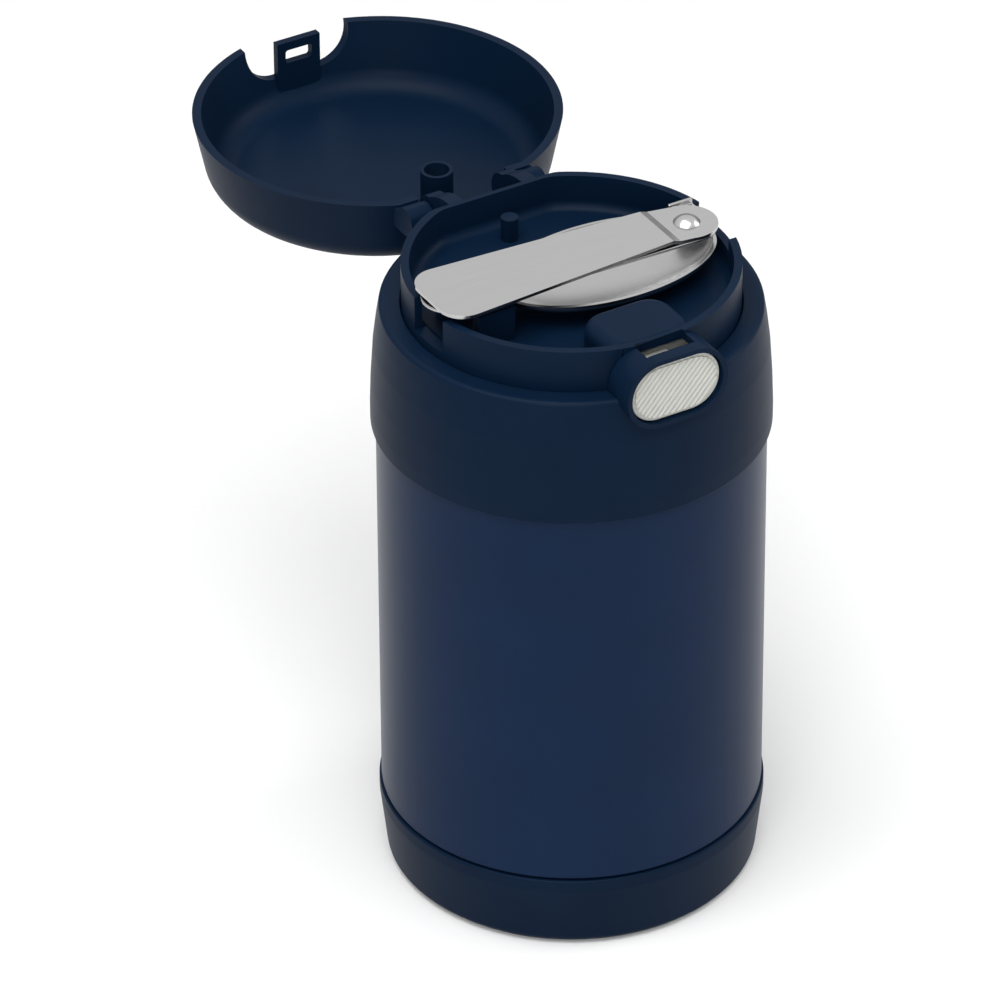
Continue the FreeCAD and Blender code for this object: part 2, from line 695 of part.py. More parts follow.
def make_cover():
    outside = drafted("cover_outside", cover_radius, rim_closed, cover_top, cover_flat, s.cover_round)
    inside = drafted("cover_inside", cover_radius - s.cover_wall, rim_closed, ceiling,
                     cover_flat - s.cover_wall, s.cover_round - 1.6, below=2)
    gap_front = cover_radius + 3
    gap_back = cover_radius - s.cover_draft * 2.4
    gap_plain = block("button_gap_block", (-(bezel_half_width + 1), -gap_front, rim_closed - 8),
                      (bezel_half_width + 1, -gap_back, bezel_high + s.move_gap))
    gap_depth = (gap_front - gap_back).value

    def gap_corners(edge):
        return abs(edge.BoundBox.YLength - gap_depth) < 1e-3 and edge.BoundBox.Center.z > rim_closed.value

    gap = rounded("button_gap", gap_plain, bezel_half_height + s.move_gap, gap_corners)
    notch = block("ear_notch", (-knuckle_inner, cover_flat - s.cover_wall - 1, rim_closed - 1),
                  (knuckle_inner, cover_flat + 1, tray_rim + s.move_gap))
    shell = cut("cover_shell", outside, inside, gap, notch)
    loop = block("loop", (-s.loop_width / 2, -loop_front, rim_closed),
                 (s.loop_width / 2, -loop_back, ceiling + 0.5))
    boss_low = post_top - s.boss_reach
    boss_bore_radius = s.post_radius + 0.95
    boss = rod("boss", (0, post_y, boss_low), ceiling - boss_low + 0.5, boss_bore_radius + s.boss_wall)
    arm = block("arm_right", (knuckle_inner, cover_flat - 1, rim_closed),
                (knuckle_inner + s.knuckle_width, hinge_y, hinge_z + s.hinge_radius))
    knuckle = rod("knuckle_right", (knuckle_inner, hinge_y, hinge_z), s.knuckle_width, s.hinge_radius, "x")
    hinge = fuse("hinge_right", arm, knuckle)
    solid = fuse("cover_solid", shell, loop, boss, hinge, pair("hinge_left", hinge))
    window = block("loop_window", (-s.loop_width * 0.31, -(loop_front + 1), rim_closed + 2.2),
                   (s.loop_width * 0.31, -(loop_back - 1), rim_closed + 5.6))
    boss_bore = rod("boss_bore", (0, post_y, boss_low - 1), s.boss_reach + 2.8, boss_bore_radius)
    bore = rod("knuckle_bore", (knuckle_inner - 1, hinge_y, hinge_z), pin_end - knuckle_inner + 1.3,
               s.pin_radius + s.pin_gap, "x")
    return cut("cover_cut", solid, window, boss_bore, bore, pair("knuckle_bore_left", bore))


def lay_open(name, thing):
    """The closed piece turned half a turn about the hinge axis."""
    made = doc.addObject("Part::Compound", name + "_closed")
    made.Links = [thing]
    made.Placement = Placement(Vector(), Rotation(Vector(1, 0, 0), 180))
    return place(made, 0, hinge_y * 2, hinge_z * 2)


keep("cover", lay_open("cover", make_cover()))
bumper = rod("bumper_disc", (0, post_y, post_top + 0.2), 1.5, s.post_radius + 0.9)
keep("cover_bumper", lay_open("cover_bumper", bumper))

# Push button with its latch tooth, and the spring behind it.


def make_grooves():
    """The slanted grooves of the button's face, which end before its edge."""
    slant = Rotation(Vector(0, 1, 0), 42)
    reach = s.button_width / 2
    bars = []
    for n in range(-7, 8):
        bar = doc.addObject("Part::Box", f"groove_{n + 7}")
        bind(bar, "Length", s.groove_pitch / 2)
        bind(bar, "Width", s.groove_depth + 1)
        bind(bar, "Height", reach * 2)
        bar.Placement = Placement(Vector(), slant)
        back = slant.multVec(Vector(0, 0, 1))
        place(bar, s.groove_pitch * n - reach * back.x, -(button_face + 1), button_z - reach * back.z)
        bars.append(bar)
    half_width = s.button_width / 2 - s.groove_margin
    half_height = s.button_height / 2 - s.groove_margin
    area = front_block("groove_area", half_width, button_z - half_height, button_z + half_height,
                       button_face + 1, button_face - s.groove_depth, half_height - 0.05)
    return common("grooves", fuse("groove_bars", *bars), area)


def make_button():
    radius = s.button_height / 2 - 0.05
    plain = front_block("button_plate_plain", s.button_width / 2, button_z - s.button_height / 2,
                        button_z + s.button_height / 2, button_face, plate_back, radius)
    plate = cut("button_plate", plain, make_grooves())
    stem = block("stem", (-stem_half, -(plate_back + 0.1), stem_low), (stem_half, -stem_back, stem_high))
    inner = s.loop_width / 2 + 1.2
    arm = block("latch_arm", (inner, -(stem_back + 0.1), stem_low), (stem_half, -bar_back, stem_low + 4))
    bar = block("latch_bar", (-stem_half, -bar_front, stem_low), (stem_half, -bar_back, stem_low + 9.3))
    tooth_low = rim_closed + 2.6
    tooth = slab("tooth", "yz", [
        (-bar_front, tooth_low), (-(loop_front - 0.6), tooth_low), (-(loop_front - 0.6), tooth_low + 0.9),
        (-(loop_back - 0.2), tooth_low + 2.4), (-bar_front, tooth_low + 2.4),
    ], -2.9, 2.9)
    return fuse("button_fused", plate, stem, arm, pair("latch_arm_left", arm), bar, tooth)


def make_spring():
    """A coil along Y between the latch bar and the back of the hump, as one unbroken wire."""
    wire = s.spring_wire.value
    radius = s.spring_radius.value
    start = -bar_back.value + wire / 2 + 0.1
    length = (bar_back - hump_back).value - 1.7 - wire - 0.2
    turns = 5
    middle_z = (stem_low + 5).value
    steps = turns * 2

    def point(turn):
        angle = 2 * math.pi * turn
        return Vector(radius * math.cos(angle), start + length * turn / turns, middle_z + radius * math.sin(angle))

    arcs = []
    for n in range(steps):
        a, m, b = (point((n + share) / 2) for share in (0, 0.5, 1))
        arcs.append(Part.Arc(a, m, b).toShape())
    path = Part.Wire(arcs)
    run = arcs[0].tangentAt(arcs[0].FirstParameter)
    ring = Part.Wire([Part.makeCircle(wire / 2, point(0), run)])
    coil = path.makePipeShell([ring], True, False)
    print("spring gap between turns", round(length / turns - wire, 3))
    made = doc.addObject("Part::Feature", "button_spring")
    made.Shape = coil
    return made


keep("latch_button", make_button())
keep("button_spring", make_spring())

# Folding spoon: bowl, link and handle, joined by two rivets.

sheet_gap = s.spoon_gap
link_low = tray_rim + s.spoon_rise
link_high = link_low + s.spoon_sheet
neck_high = link_low - sheet_gap
neck_low = neck_high - s.spoon_sheet
ear_low = link_high + sheet_gap
ear_high = ear_low + s.spoon_sheet
handle_low = ear_low + s.handle_jog
handle_high = handle_low + s.spoon_sheet
bowl_rim = tray_floor + 0.3 + s.bowl_depth
bowl_y = -s.handle_pivot_y / 2


def rivet_hole(name, x, y, gap):
    return rod(name, (x, y, neck_low - 1), s.tray_rise, s.rivet_radius + gap)


def make_bowl():
    half_length = (bowl_front + s.bowl_back) / 2
    half_width = hump_back - s.bowl_side_gap + bowl_y
    middle = (bowl_front - s.bowl_back) / 2

    def ball(name, less):
        thing = doc.addObject("Part::Ellipsoid", name)
        bind(thing, "Radius1", s.bowl_depth - less)
        bind(thing, "Radius2", half_length - less)
        bind(thing, "Radius3", half_width - less)
        return place(thing, middle, bowl_y, bowl_rim)

    below = block("below_rim", (-tray_radius, -tray_radius, tray_floor - 1), (tray_radius, tray_radius, bowl_rim))
    dish = cut("dish", common("dish_outside", ball("bowl_outer", 0), below), ball("bowl_inner", s.spoon_sheet))
    neck = slab("neck", "xz", [
        (-bowl_pivot, neck_low), (-(s.bowl_back + 3), neck_low), (-(s.bowl_back - 2.5), bowl_rim - 1.1),
        (-(s.bowl_back - 3.5), bowl_rim - 0.4), (-(s.bowl_back + 2.5), neck_high), (-bowl_pivot, neck_high),
    ], -(s.neck_end_radius - 0.7), s.neck_end_radius - 0.7)
    end = rod("neck_end", (-bowl_pivot, 0, neck_low), s.spoon_sheet, s.neck_end_radius)
    return cut("bowl_cut", fuse("bowl_fused", dish, neck, end), rivet_hole("bowl_hole", -bowl_pivot, 0, s.pin_gap / 2))


def make_link():
    radius = s.link_radius
    bar = slab("link_bar", "xy", [
        (-bowl_pivot, -radius), (handle_pivot_x, -(s.handle_pivot_y + radius)),
        (handle_pivot_x, radius - s.handle_pivot_y), (-bowl_pivot, radius),
    ], link_low, link_high)
    left = rod("link_left", (-bowl_pivot, 0, link_low), s.spoon_sheet, radius)
    right = rod("link_right", (handle_pivot_x, -s.handle_pivot_y, link_low), s.spoon_sheet, radius)
    stop_back = s.handle_ear_radius - s.handle_pivot_y + s.move_gap + s.spoon_sheet
    wing = block("link_wing", (handle_pivot_x, -s.handle_pivot_y, link_low),
                 (handle_pivot_x + s.link_radius - 0.6, stop_back, link_high))
    stop = block("link_stop", (handle_pivot_x, stop_back - s.spoon_sheet, link_low),
                 (handle_pivot_x + s.link_radius - 0.6, stop_back, ear_high + 0.3))
    return cut("link_cut", fuse("link_fused", bar, left, right, wing, stop),
               rivet_hole("link_hole_left", -bowl_pivot, 0, s.pin_gap),
               rivet_hole("link_hole_right", handle_pivot_x, -s.handle_pivot_y, s.pin_gap / 2))


def make_handle():
    jog = handle_pivot_x - s.handle_ear_radius + 1
    front = s.handle_narrow / 2 + s.handle_pivot_y / 2
    back = s.handle_narrow / 2 - s.handle_pivot_y / 2
    plain = slab("handle_plain", "xy", [
        (-handle_end, -s.handle_front), (jog, -front), (jog, back), (-handle_end, s.handle_back),
    ], handle_low, handle_high)
    plate = rounded("handle_plate", plain, s.handle_corner, lambda edge: upright(edge) and near(edge, x=-handle_end))
    step = block("handle_step", (jog - 1, -front, ear_low), (jog, back - 0.5, handle_high))
    radius = s.handle_ear_radius
    ear = slab("handle_ear", "xy", [
        (jog - 1, -front), (handle_pivot_x, -(s.handle_pivot_y + radius)),
        (handle_pivot_x, radius - s.handle_pivot_y), (jog - 1, back - 0.5),
    ], ear_low, ear_high)
    end = rod("handle_end_round", (handle_pivot_x, -s.handle_pivot_y, ear_low), s.spoon_sheet, radius)
    return cut("handle_cut", fuse("handle_fused", plate, step, ear, end),
               rivet_hole("handle_hole", handle_pivot_x, -s.handle_pivot_y, s.pin_gap))


def make_rivet(name, x, y, low, high, head_radius, head_height):
    shank = rod(name + "_shank", (x, y, low), high - low + 0.3, s.rivet_radius)
    head = dome(name + "_head", x, y, high + s.pin_gap, head_radius, head_height)
    return fuse(name + "_fused", shank, head)


keep("spoon_bowl", make_bowl())
keep("spoon_link", make_link())
keep("spoon_handle", make_handle())
keep("bowl_rivet", make_rivet("bowl_rivet", -bowl_pivot, 0, neck_low, link_high, s.bowl_rivet_head,
                              s.bowl_rivet_rise))
keep("handle_rivet", make_rivet("handle_rivet", handle_pivot_x, -s.handle_pivot_y, link_low, ear_high,
                                s.handle_rivet_head, s.handle_rivet_rise))


def check_and_write():
    doc.recompute()
    for thing in doc.Objects:
        if "Invalid" in thing.State or "Error" in thing.State:
            raise RuntimeError(f"{thing.Name} failed: {thing.State}")
    os.makedirs("parts", exist_ok=True)
    for label, thing in parts.items():
        shape = thing.Shape
        if shape.isNull() or not shape.isValid() or not shape.Solids:
            raise RuntimeError(f"{label} has no good solid")
        print(label, "solids", len(shape.Solids), "volume", round(shape.Volume, 1))
        shape.exportStep(f"parts/{label}.step")


check_and_write()
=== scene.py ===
"""The looks of an insulated food jar with its cover laid open and its folding spoon stowed."""

import math

import bpy
from mathutils import Matrix, Vector


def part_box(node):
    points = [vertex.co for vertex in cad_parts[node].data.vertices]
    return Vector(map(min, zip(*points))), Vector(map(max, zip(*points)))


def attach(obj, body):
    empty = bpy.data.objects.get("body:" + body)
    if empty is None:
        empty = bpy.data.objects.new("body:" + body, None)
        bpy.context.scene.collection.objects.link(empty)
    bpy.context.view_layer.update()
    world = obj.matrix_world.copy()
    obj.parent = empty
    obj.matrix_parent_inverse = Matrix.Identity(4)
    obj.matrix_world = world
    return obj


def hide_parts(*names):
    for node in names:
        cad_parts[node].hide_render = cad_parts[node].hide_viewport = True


bl_info = {
    "name": "Insulated food jar",
    "version": (1, 0, 0),
    "blender": (4, 5, 0),
    "location": "View3D > Sidebar > Jar",
    "description": "Models and finishes an insulated food jar around its packed frame",
    "category": "Add Mesh",
}

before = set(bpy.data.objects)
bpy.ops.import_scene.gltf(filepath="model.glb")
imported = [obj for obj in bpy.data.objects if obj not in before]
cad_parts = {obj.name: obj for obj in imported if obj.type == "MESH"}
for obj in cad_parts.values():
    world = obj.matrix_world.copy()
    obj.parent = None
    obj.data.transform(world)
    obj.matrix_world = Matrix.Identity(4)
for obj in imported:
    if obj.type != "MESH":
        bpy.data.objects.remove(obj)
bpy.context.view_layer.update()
MM = 0.001

SHELL_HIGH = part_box("outer_shell")[1]
BASE_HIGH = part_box("base_cap")[1]
COLLAR_LOW, COLLAR_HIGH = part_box("lid_collar")
TRAY_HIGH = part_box("lid_tray")[1]
COVER_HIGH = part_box("cover")[1]
BUTTON_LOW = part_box("latch_button")[0]
PIN_LOW, PIN_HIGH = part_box("hinge_pin_right")
LINK_LOW, LINK_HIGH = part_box("spoon_link")
HANDLE_LOW, HANDLE_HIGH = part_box("spoon_handle")
BOWL_LOW, BOWL_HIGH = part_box("spoon_bowl")


class JarSizes(bpy.types.PropertyGroup):
    """Sizes that the pieces take from the frame."""

    body_radius: bpy.props.FloatProperty(
        name="Body radius", description="Outside of the painted steel wall",
        default=SHELL_HIGH.x, unit="LENGTH", subtype="DISTANCE")
    base_radius: bpy.props.FloatProperty(
        name="Base radius", description="Widest part of the base cap",
        default=BASE_HIGH.x, unit="LENGTH", subtype="DISTANCE")
    base_height: bpy.props.FloatProperty(
        name="Base height", description="Top edge of the base cap",
        default=BASE_HIGH.z, unit="LENGTH", subtype="DISTANCE")
    neck_top: bpy.props.FloatProperty(
        name="Neck top", description="Top of the steel neck",
        default=SHELL_HIGH.z, unit="LENGTH", subtype="DISTANCE")
    collar_radius: bpy.props.FloatProperty(
        name="Collar radius", description="Lid collar at its lower edge",
        default=COLLAR_HIGH.x, unit="LENGTH", subtype="DISTANCE")
    collar_bottom: bpy.props.FloatProperty(
        name="Collar bottom", description="Lower edge of the lid collar",
        default=COLLAR_LOW.z, unit="LENGTH", subtype="DISTANCE")
    bezel_face: bpy.props.FloatProperty(
        name="Bezel face", description="Front of the frame round the button",
        default=-COLLAR_LOW.y, unit="LENGTH", subtype="DISTANCE")
    tray_radius: bpy.props.FloatProperty(
        name="Tray radius", description="Outside of the tray wall",
        default=TRAY_HIGH.x, unit="LENGTH", subtype="DISTANCE")
    tray_rim: bpy.props.FloatProperty(
        name="Tray rim", description="Top of the tray wall",
        default=TRAY_HIGH.z, unit="LENGTH", subtype="DISTANCE")
    cover_radius: bpy.props.FloatProperty(
        name="Cover radius", description="Outside of the cover at its rim",
        default=COVER_HIGH.x, unit="LENGTH", subtype="DISTANCE")
    hinge_y: bpy.props.FloatProperty(
        name="Hinge place", description="Hinge axis behind the centre",
        default=(PIN_LOW.y + PIN_HIGH.y) / 2, unit="LENGTH", subtype="DISTANCE")
    hinge_z: bpy.props.FloatProperty(
        name="Hinge height", description="Height of the hinge axis",
        default=(PIN_LOW.z + PIN_HIGH.z) / 2, unit="LENGTH", subtype="DISTANCE")
    button_face: bpy.props.FloatProperty(
        name="Button face", description="Front of the push button",
        default=-BUTTON_LOW.y, unit="LENGTH", subtype="DISTANCE")


class JarFinish(bpy.types.PropertyGroup):
    """Colours of the finishes."""

    navy: bpy.props.FloatVectorProperty(
        name="Navy plastic", description="Moulded lid, cover and base",
        default=(0.0024, 0.0102, 0.0275), subtype="COLOR", size=3, min=0, max=1)
    paint: bpy.props.FloatVectorProperty(
        name="Navy paint", description="Coat on the steel body",
        default=(0.0045, 0.0155, 0.0455), subtype="COLOR", size=3, min=0, max=1)
    button: bpy.props.FloatVectorProperty(
        name="Button", description="Push button and latch",
        default=(0.50, 0.505, 0.47), subtype="COLOR", size=3, min=0, max=1)
    spoon: bpy.props.FloatVectorProperty(
        name="Spoon steel", description="Brushed spoon pieces",
        default=(0.48, 0.48, 0.48), subtype="COLOR", size=3, min=0, max=1)


def jar():
    return bpy.context.scene.jar_sizes


def finish():
    return bpy.context.scene.jar_finish


# Modelling helpers


def put_down():
    """Leaves edit mode with nothing selected."""
    if bpy.context.object and bpy.context.object.mode != "OBJECT":
        bpy.ops.object.mode_set(mode="OBJECT")
    bpy.ops.object.select_all(action="DESELECT")


def pick(piece):
    put_down()
    piece.select_set(True)
    bpy.context.view_layer.objects.active = piece


def edit(piece, mode="VERT"):
    pick(piece)
    bpy.ops.object.mode_set(mode="EDIT")
    bpy.ops.mesh.select_mode(type=mode)
    bpy.ops.mesh.select_all(action="SELECT")


def tidy_mesh(piece):
    edit(piece)
    bpy.ops.mesh.remove_doubles(threshold=2e-6)
    bpy.ops.mesh.normals_make_consistent(inside=False)
    put_down()


def modify(piece, kind, **settings):
    """Adds a modifier, sets it up and applies it."""
    pick(piece)
    modifier = piece.modifiers.new(kind.title(), kind)
    for name, value in settings.items():
        setattr(modifier, name, value)
    bpy.ops.object.modifier_apply(modifier=modifier.name)


def carve(piece, *tools, operation="DIFFERENCE"):
    for tool in tools:
        modify(piece, "BOOLEAN", operation=operation, solver="EXACT", object=tool)
        bpy.data.objects.remove(tool)
    return piece


def join(piece, *others):
    return carve(piece, *others, operation="UNION")


def soften(piece, width, segments=3, angle=32):
    """Rounds the sharp edges of a piece."""
    tidy_mesh(piece)
    edit(piece, "FACE")
    bpy.ops.mesh.dissolve_limited(angle_limit=math.radians(0.6))
    put_down()
    modify(piece, "BEVEL", width=width * MM, segments=segments, limit_method="ANGLE",
           angle_limit=math.radians(angle), miter_outer="MITER_ARC", use_clamp_overlap=True)
    return piece


def round_edges(piece, radius, segments, wanted):
    """Rounds the edges whose two ends pass a test."""
    edit(piece, "EDGE")
    bpy.ops.mesh.select_all(action="DESELECT")
    put_down()
    places = piece.data.vertices
    for edge in piece.data.edges:
        edge.select = wanted(*(places[v].co / MM for v in edge.vertices))
    pick(piece)
    bpy.ops.object.mode_set(mode="EDIT")
    bpy.ops.mesh.bevel(offset=radius * MM, segments=segments, profile=0.5, affect="EDGES",
                       clamp_overlap=True)
    put_down()
    return piece


def at_height(z):
    """A test for edges that lie level at one height."""
    return lambda a, b: abs(a.z - z) < 0.01 and abs(b.z - z) < 0.01


def arc_corner(before, here, after, radius, steps):
    """Points of the arc that rounds one corner of an outline."""
    a = (before - here).normalized()
    b = (after - here).normalized()
    half = a.angle(b) / 2
    centre = here + (a + b).normalized() * (radius / math.sin(half))
    start = here + a * (radius / math.tan(half)) - centre
    turn = start.angle_signed(here + b * (radius / math.tan(half)) - centre)
    return [centre + Matrix.Rotation(-turn * n / steps, 2) @ start for n in range(steps + 1)]


def outline(corners, steps=6):
    """A closed outline from corners of (u, v) or (u, v, radius), in millimetres."""
    flat = [Vector(corner[:2]) for corner in corners]
    points = []
    for i, corner in enumerate(corners):
        if len(corner) == 2:
            points.append(flat[i])
            continue
        points += arc_corner(flat[i - 1], flat[i], flat[(i + 1) % len(flat)], corner[2], steps)
    return points


def wire(name, points):
    """A closed loop of edges through points in metres."""
    put_down()
    bpy.ops.mesh.primitive_plane_add(size=MM)
    piece = bpy.context.object
    piece.name = name
    piece.data.name = name
    edit(piece)
    bpy.ops.mesh.merge(type="CENTER")
    bpy.ops.transform.translate(value=points[0])
    for start, end in zip(points, points[1:] + points[:1]):
        bpy.ops.mesh.extrude_region_move(TRANSFORM_OT_translate={"value": end - start})
    bpy.ops.mesh.select_all(action="SELECT")
    bpy.ops.mesh.remove_doubles(threshold=1e-7)
    return piece


def turned(name, corners, steps=160, arc_steps=6):
    """A ring or disc spun about Z from its half section (radius, height)."""
    piece = wire(name, [Vector((u, 0, v)) * MM for u, v in outline(corners, arc_steps)])
    bpy.ops.mesh.select_all(action="SELECT")
    bpy.ops.mesh.spin(steps=steps, angle=2 * math.pi, center=(0, 0, 0), axis=(0, 0, 1))
    tidy_mesh(piece)
    return piece


AXES = {
    "z": (Vector((1, 0, 0)), Vector((0, 1, 0)), Vector((0, 0, 1))),
    "y": (Vector((1, 0, 0)), Vector((0, 0, 1)), Vector((0, 1, 0))),
    "x": (Vector((0, 1, 0)), Vector((0, 0, 1)), Vector((1, 0, 0))),
}


def slab(name, axis, corners, low, high, arc_steps=8):
    """An outline drawn out along an axis from low to high."""
    across, up, along = AXES[axis]
    points = [(across * u + up * v + along * low) * MM for u, v in outline(corners, arc_steps)]
    piece = wire(name, points)
    bpy.ops.mesh.select_all(action="SELECT")
    bpy.ops.mesh.edge_face_add()
    bpy.ops.mesh.extrude_region_move(TRANSFORM_OT_translate={"value": along * (high - low) * MM})
    tidy_mesh(piece)
    return piece


def block(name, low, high, corner=0.0):
    """A box between two corners, with its upright edges rounded if asked."""
    (x0, y0, z0), (x1, y1, z1) = low, high
    corners = [(x0, y0), (x1, y0), (x1, y1), (x0, y1)]
    if corner:
        corners = [(x, y, corner) for x, y in corners]
    return slab(name, "z", corners, z0, z1)


def rod(name, axis, centre, radius, low, high, vertices=64):
    """A cylinder along an axis, from low to high, round (u, v)."""
    across, up, along = AXES[axis]
    middle = (across * centre[0] + up * centre[1] + along * (low + high) / 2) * MM
    turn = {"x": (0, math.pi / 2, 0), "y": (math.pi / 2, 0, 0), "z": (0, 0, 0)}[axis]
    put_down()
    bpy.ops.mesh.primitive_cylinder_add(vertices=vertices, radius=radius * MM, depth=(high - low) * MM,
                                        location=middle, rotation=turn)
    piece = bpy.context.object
    piece.name = name
    settle(piece)
    return piece


def settle(piece):
    """Puts a piece's place, turn and scale into its mesh."""
    pick(piece)
    bpy.ops.object.transform_apply(location=True, rotation=True, scale=True)


def mirrored(piece, name):
    """A copy of a piece on the other side of x = 0."""
    pick(piece)
    bpy.ops.object.duplicate()
    copy = bpy.context.object
    copy.name = name
    copy.scale.x = -1
    settle(copy)
    tidy_mesh(copy)
    return copy


def obround(half_width, half_height, middle_z, corner_share=0.98):
    corner = half_height * corner_share
    return [(-half_width, middle_z - half_height, corner), (half_width, middle_z - half_height, corner),
            (half_width, middle_z + half_height, corner), (-half_width, middle_z + half_height, corner)]


def hand_over(piece, material, body, slot, *nodes, smooth=34):
    """Gives a finished piece its material, its body and the frame nodes that it stands for."""
    pick(piece)
    bpy.ops.object.shade_smooth_by_angle(angle=math.radians(smooth))
    modify(piece, "WEIGHTED_NORMAL", keep_sharp=True)
    piece.data.materials.clear()
    piece.data.materials.append(material)
    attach(piece, body)
    if nodes:
        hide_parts(*nodes)
    return piece


# Materials


def new_group(name, inputs, outputs):
    group = bpy.data.node_groups.new(name, "ShaderNodeTree")
    for label, kind, value in inputs:
        socket = group.interface.new_socket(label, in_out="INPUT", socket_type=kind)
        socket.default_value = value
    for label, kind in outputs:
        group.interface.new_socket(label, in_out="OUTPUT", socket_type=kind)
    return group, group.nodes.new("NodeGroupInput"), group.nodes.new("NodeGroupOutput")


def moulded_grain():
    """Fine grain of a moulded or coated skin: a normal, a roughness and a soft tone mask."""
    name = "moulded grain"
    if name in bpy.data.node_groups:
        return bpy.data.node_groups[name]
    group, entry, end = new_group(name, [
        ("Grain Scale", "NodeSocketFloat", 2600.0),
        ("Grain Height", "NodeSocketFloat", 0.00001),
        ("Roughness", "NodeSocketFloat", 0.4),
        ("Roughness Spread", "NodeSocketFloat", 0.06),
    ], [("Normal", "NodeSocketVector"), ("Roughness", "NodeSocketFloat"), ("Tone", "NodeSocketFloat")])
    nodes, links = group.nodes, group.links
    place = nodes.new("ShaderNodeTexCoord")
    grain = nodes.new("ShaderNodeTexNoise")
    grain.inputs["Detail"].default_value = 2.0
    links.new(place.outputs["Object"], grain.inputs["Vector"])
    links.new(entry.outputs["Grain Scale"], grain.inputs["Scale"])
    bump = nodes.new("ShaderNodeBump")
    links.new(grain.outputs["Fac"], bump.inputs["Height"])
    links.new(entry.outputs["Grain Height"], bump.inputs["Distance"])
    links.new(bump.outputs["Normal"], end.inputs["Normal"])
    cloud = nodes.new("ShaderNodeTexNoise")
    cloud.inputs["Scale"].default_value = 45.0
    cloud.inputs["Detail"].default_value = 4.0
    links.new(place.outputs["Object"], cloud.inputs["Vector"])
    links.new(cloud.outputs["Fac"], end.inputs["Tone"])
    centred = nodes.new("ShaderNodeMath")
    centred.operation = "SUBTRACT"
    centred.inputs[1].default_value = 0.5
    links.new(cloud.outputs["Fac"], centred.inputs[0])
    spread = nodes.new("ShaderNodeMath")
    spread.operation = "MULTIPLY_ADD"
    links.new(centred.outputs[0], spread.inputs[0])
    links.new(entry.outputs["Roughness Spread"], spread.inputs[1])
    links.new(entry.outputs["Roughness"], spread.inputs[2])
    links.new(spread.outputs[0], end.inputs["Roughness"])
    return group


def base_material(name):
    material = bpy.data.materials.get(name)
    if material:
        return material, None, None
    material = bpy.data.materials.new(name)
    material.use_nodes = True
    shader = material.node_tree.nodes["Principled BSDF"]
    return material, material.node_tree, shader


def skin(name, dark, light, roughness, spread, grain_scale, grain_height, specular=0.5):
    """A moulded or painted skin: two close tones clouded together, over fine grain."""
    material, tree, shader = base_material(name)
    if tree is None:
        return material
    group = tree.nodes.new("ShaderNodeGroup")
    group.node_tree = moulded_grain()
    group.inputs["Grain Scale"].default_value = grain_scale
    group.inputs["Grain Height"].default_value = grain_height
    group.inputs["Roughness"].default_value = roughness
    group.inputs["Roughness Spread"].default_value = spread
    ramp = tree.nodes.new("ShaderNodeValToRGB")
    ramp.color_ramp.elements[0].position = 0.35
    ramp.color_ramp.elements[0].color = (*dark, 1)
    ramp.color_ramp.elements[1].position = 0.65
    ramp.color_ramp.elements[1].color = (*light, 1)
    tree.links.new(group.outputs["Tone"], ramp.inputs["Fac"])
    tree.links.new(ramp.outputs["Color"], shader.inputs["Base Color"])
    tree.links.new(group.outputs["Roughness"], shader.inputs["Roughness"])
    tree.links.new(group.outputs["Normal"], shader.inputs["Normal"])
    shader.inputs["Specular IOR Level"].default_value = specular
    return material


def shade(tone, factor):
    return tuple(channel * factor for channel in tone)


def navy_plastic():
    tone = finish().navy
    return skin("navy plastic", shade(tone, 0.94), shade(tone, 1.06), 0.40, 0.05, 3200.0, 0.000008, 0.05)


def navy_paint():
    tone = finish().paint
    return skin("navy paint", shade(tone, 0.95), shade(tone, 1.05), 0.30, 0.03, 4200.0, 0.000005, 0.07)


def button_plastic():
    tone = finish().button
    return skin("warm grey plastic", shade(tone, 0.96), shade(tone, 1.03), 0.48, 0.05, 3000.0, 0.00001)


def silicone():
    return skin("grey silicone", (0.50, 0.50, 0.46), (0.55, 0.55, 0.51), 0.6, 0.05, 2500.0, 0.00001,
                0.35)


def inner_plastic():
    return skin("inner plastic", (0.012, 0.018, 0.03), (0.014, 0.022, 0.036), 0.36, 0.04, 2500.0,
                0.000008)


def foam_plastic():
    return skin("rigid foam", (0.72, 0.71, 0.66), (0.80, 0.79, 0.74), 0.85, 0.05, 900.0, 0.00006,
                0.2)


def metal(name, tone, roughness, line_stretch, line_height):
    """Steel with a fine brushed line along X and a soft cloud in its gloss."""
    material, tree, shader = base_material(name)
    if tree is None:
        return material
    nodes, links = tree.nodes, tree.links
    place = nodes.new("ShaderNodeTexCoord")
    stretch = nodes.new("ShaderNodeMapping")
    stretch.inputs["Scale"].default_value = line_stretch
    links.new(place.outputs["Object"], stretch.inputs["Vector"])
    lines = nodes.new("ShaderNodeTexNoise")
    lines.inputs["Scale"].default_value = 1.0
    lines.inputs["Detail"].default_value = 3.0
    links.new(stretch.outputs["Vector"], lines.inputs["Vector"])
    bump = nodes.new("ShaderNodeBump")
    bump.inputs["Distance"].default_value = line_height
    links.new(lines.outputs["Fac"], bump.inputs["Height"])
    links.new(bump.outputs["Normal"], shader.inputs["Normal"])
    gloss = nodes.new("ShaderNodeMapRange")
    gloss.inputs["To Min"].default_value = roughness - 0.05
    gloss.inputs["To Max"].default_value = roughness + 0.05
    links.new(lines.outputs["Fac"], gloss.inputs["Value"])
    links.new(gloss.outputs["Result"], shader.inputs["Roughness"])
    ramp = nodes.new("ShaderNodeValToRGB")
    ramp.color_ramp.elements[0].color = (*shade(tone, 0.93), 1)
    ramp.color_ramp.elements[1].color = (*shade(tone, 1.05), 1)
    links.new(lines.outputs["Fac"], ramp.inputs["Fac"])
    links.new(ramp.outputs["Color"], shader.inputs["Base Color"])
    shader.inputs["Metallic"].default_value = 1.0
    return material


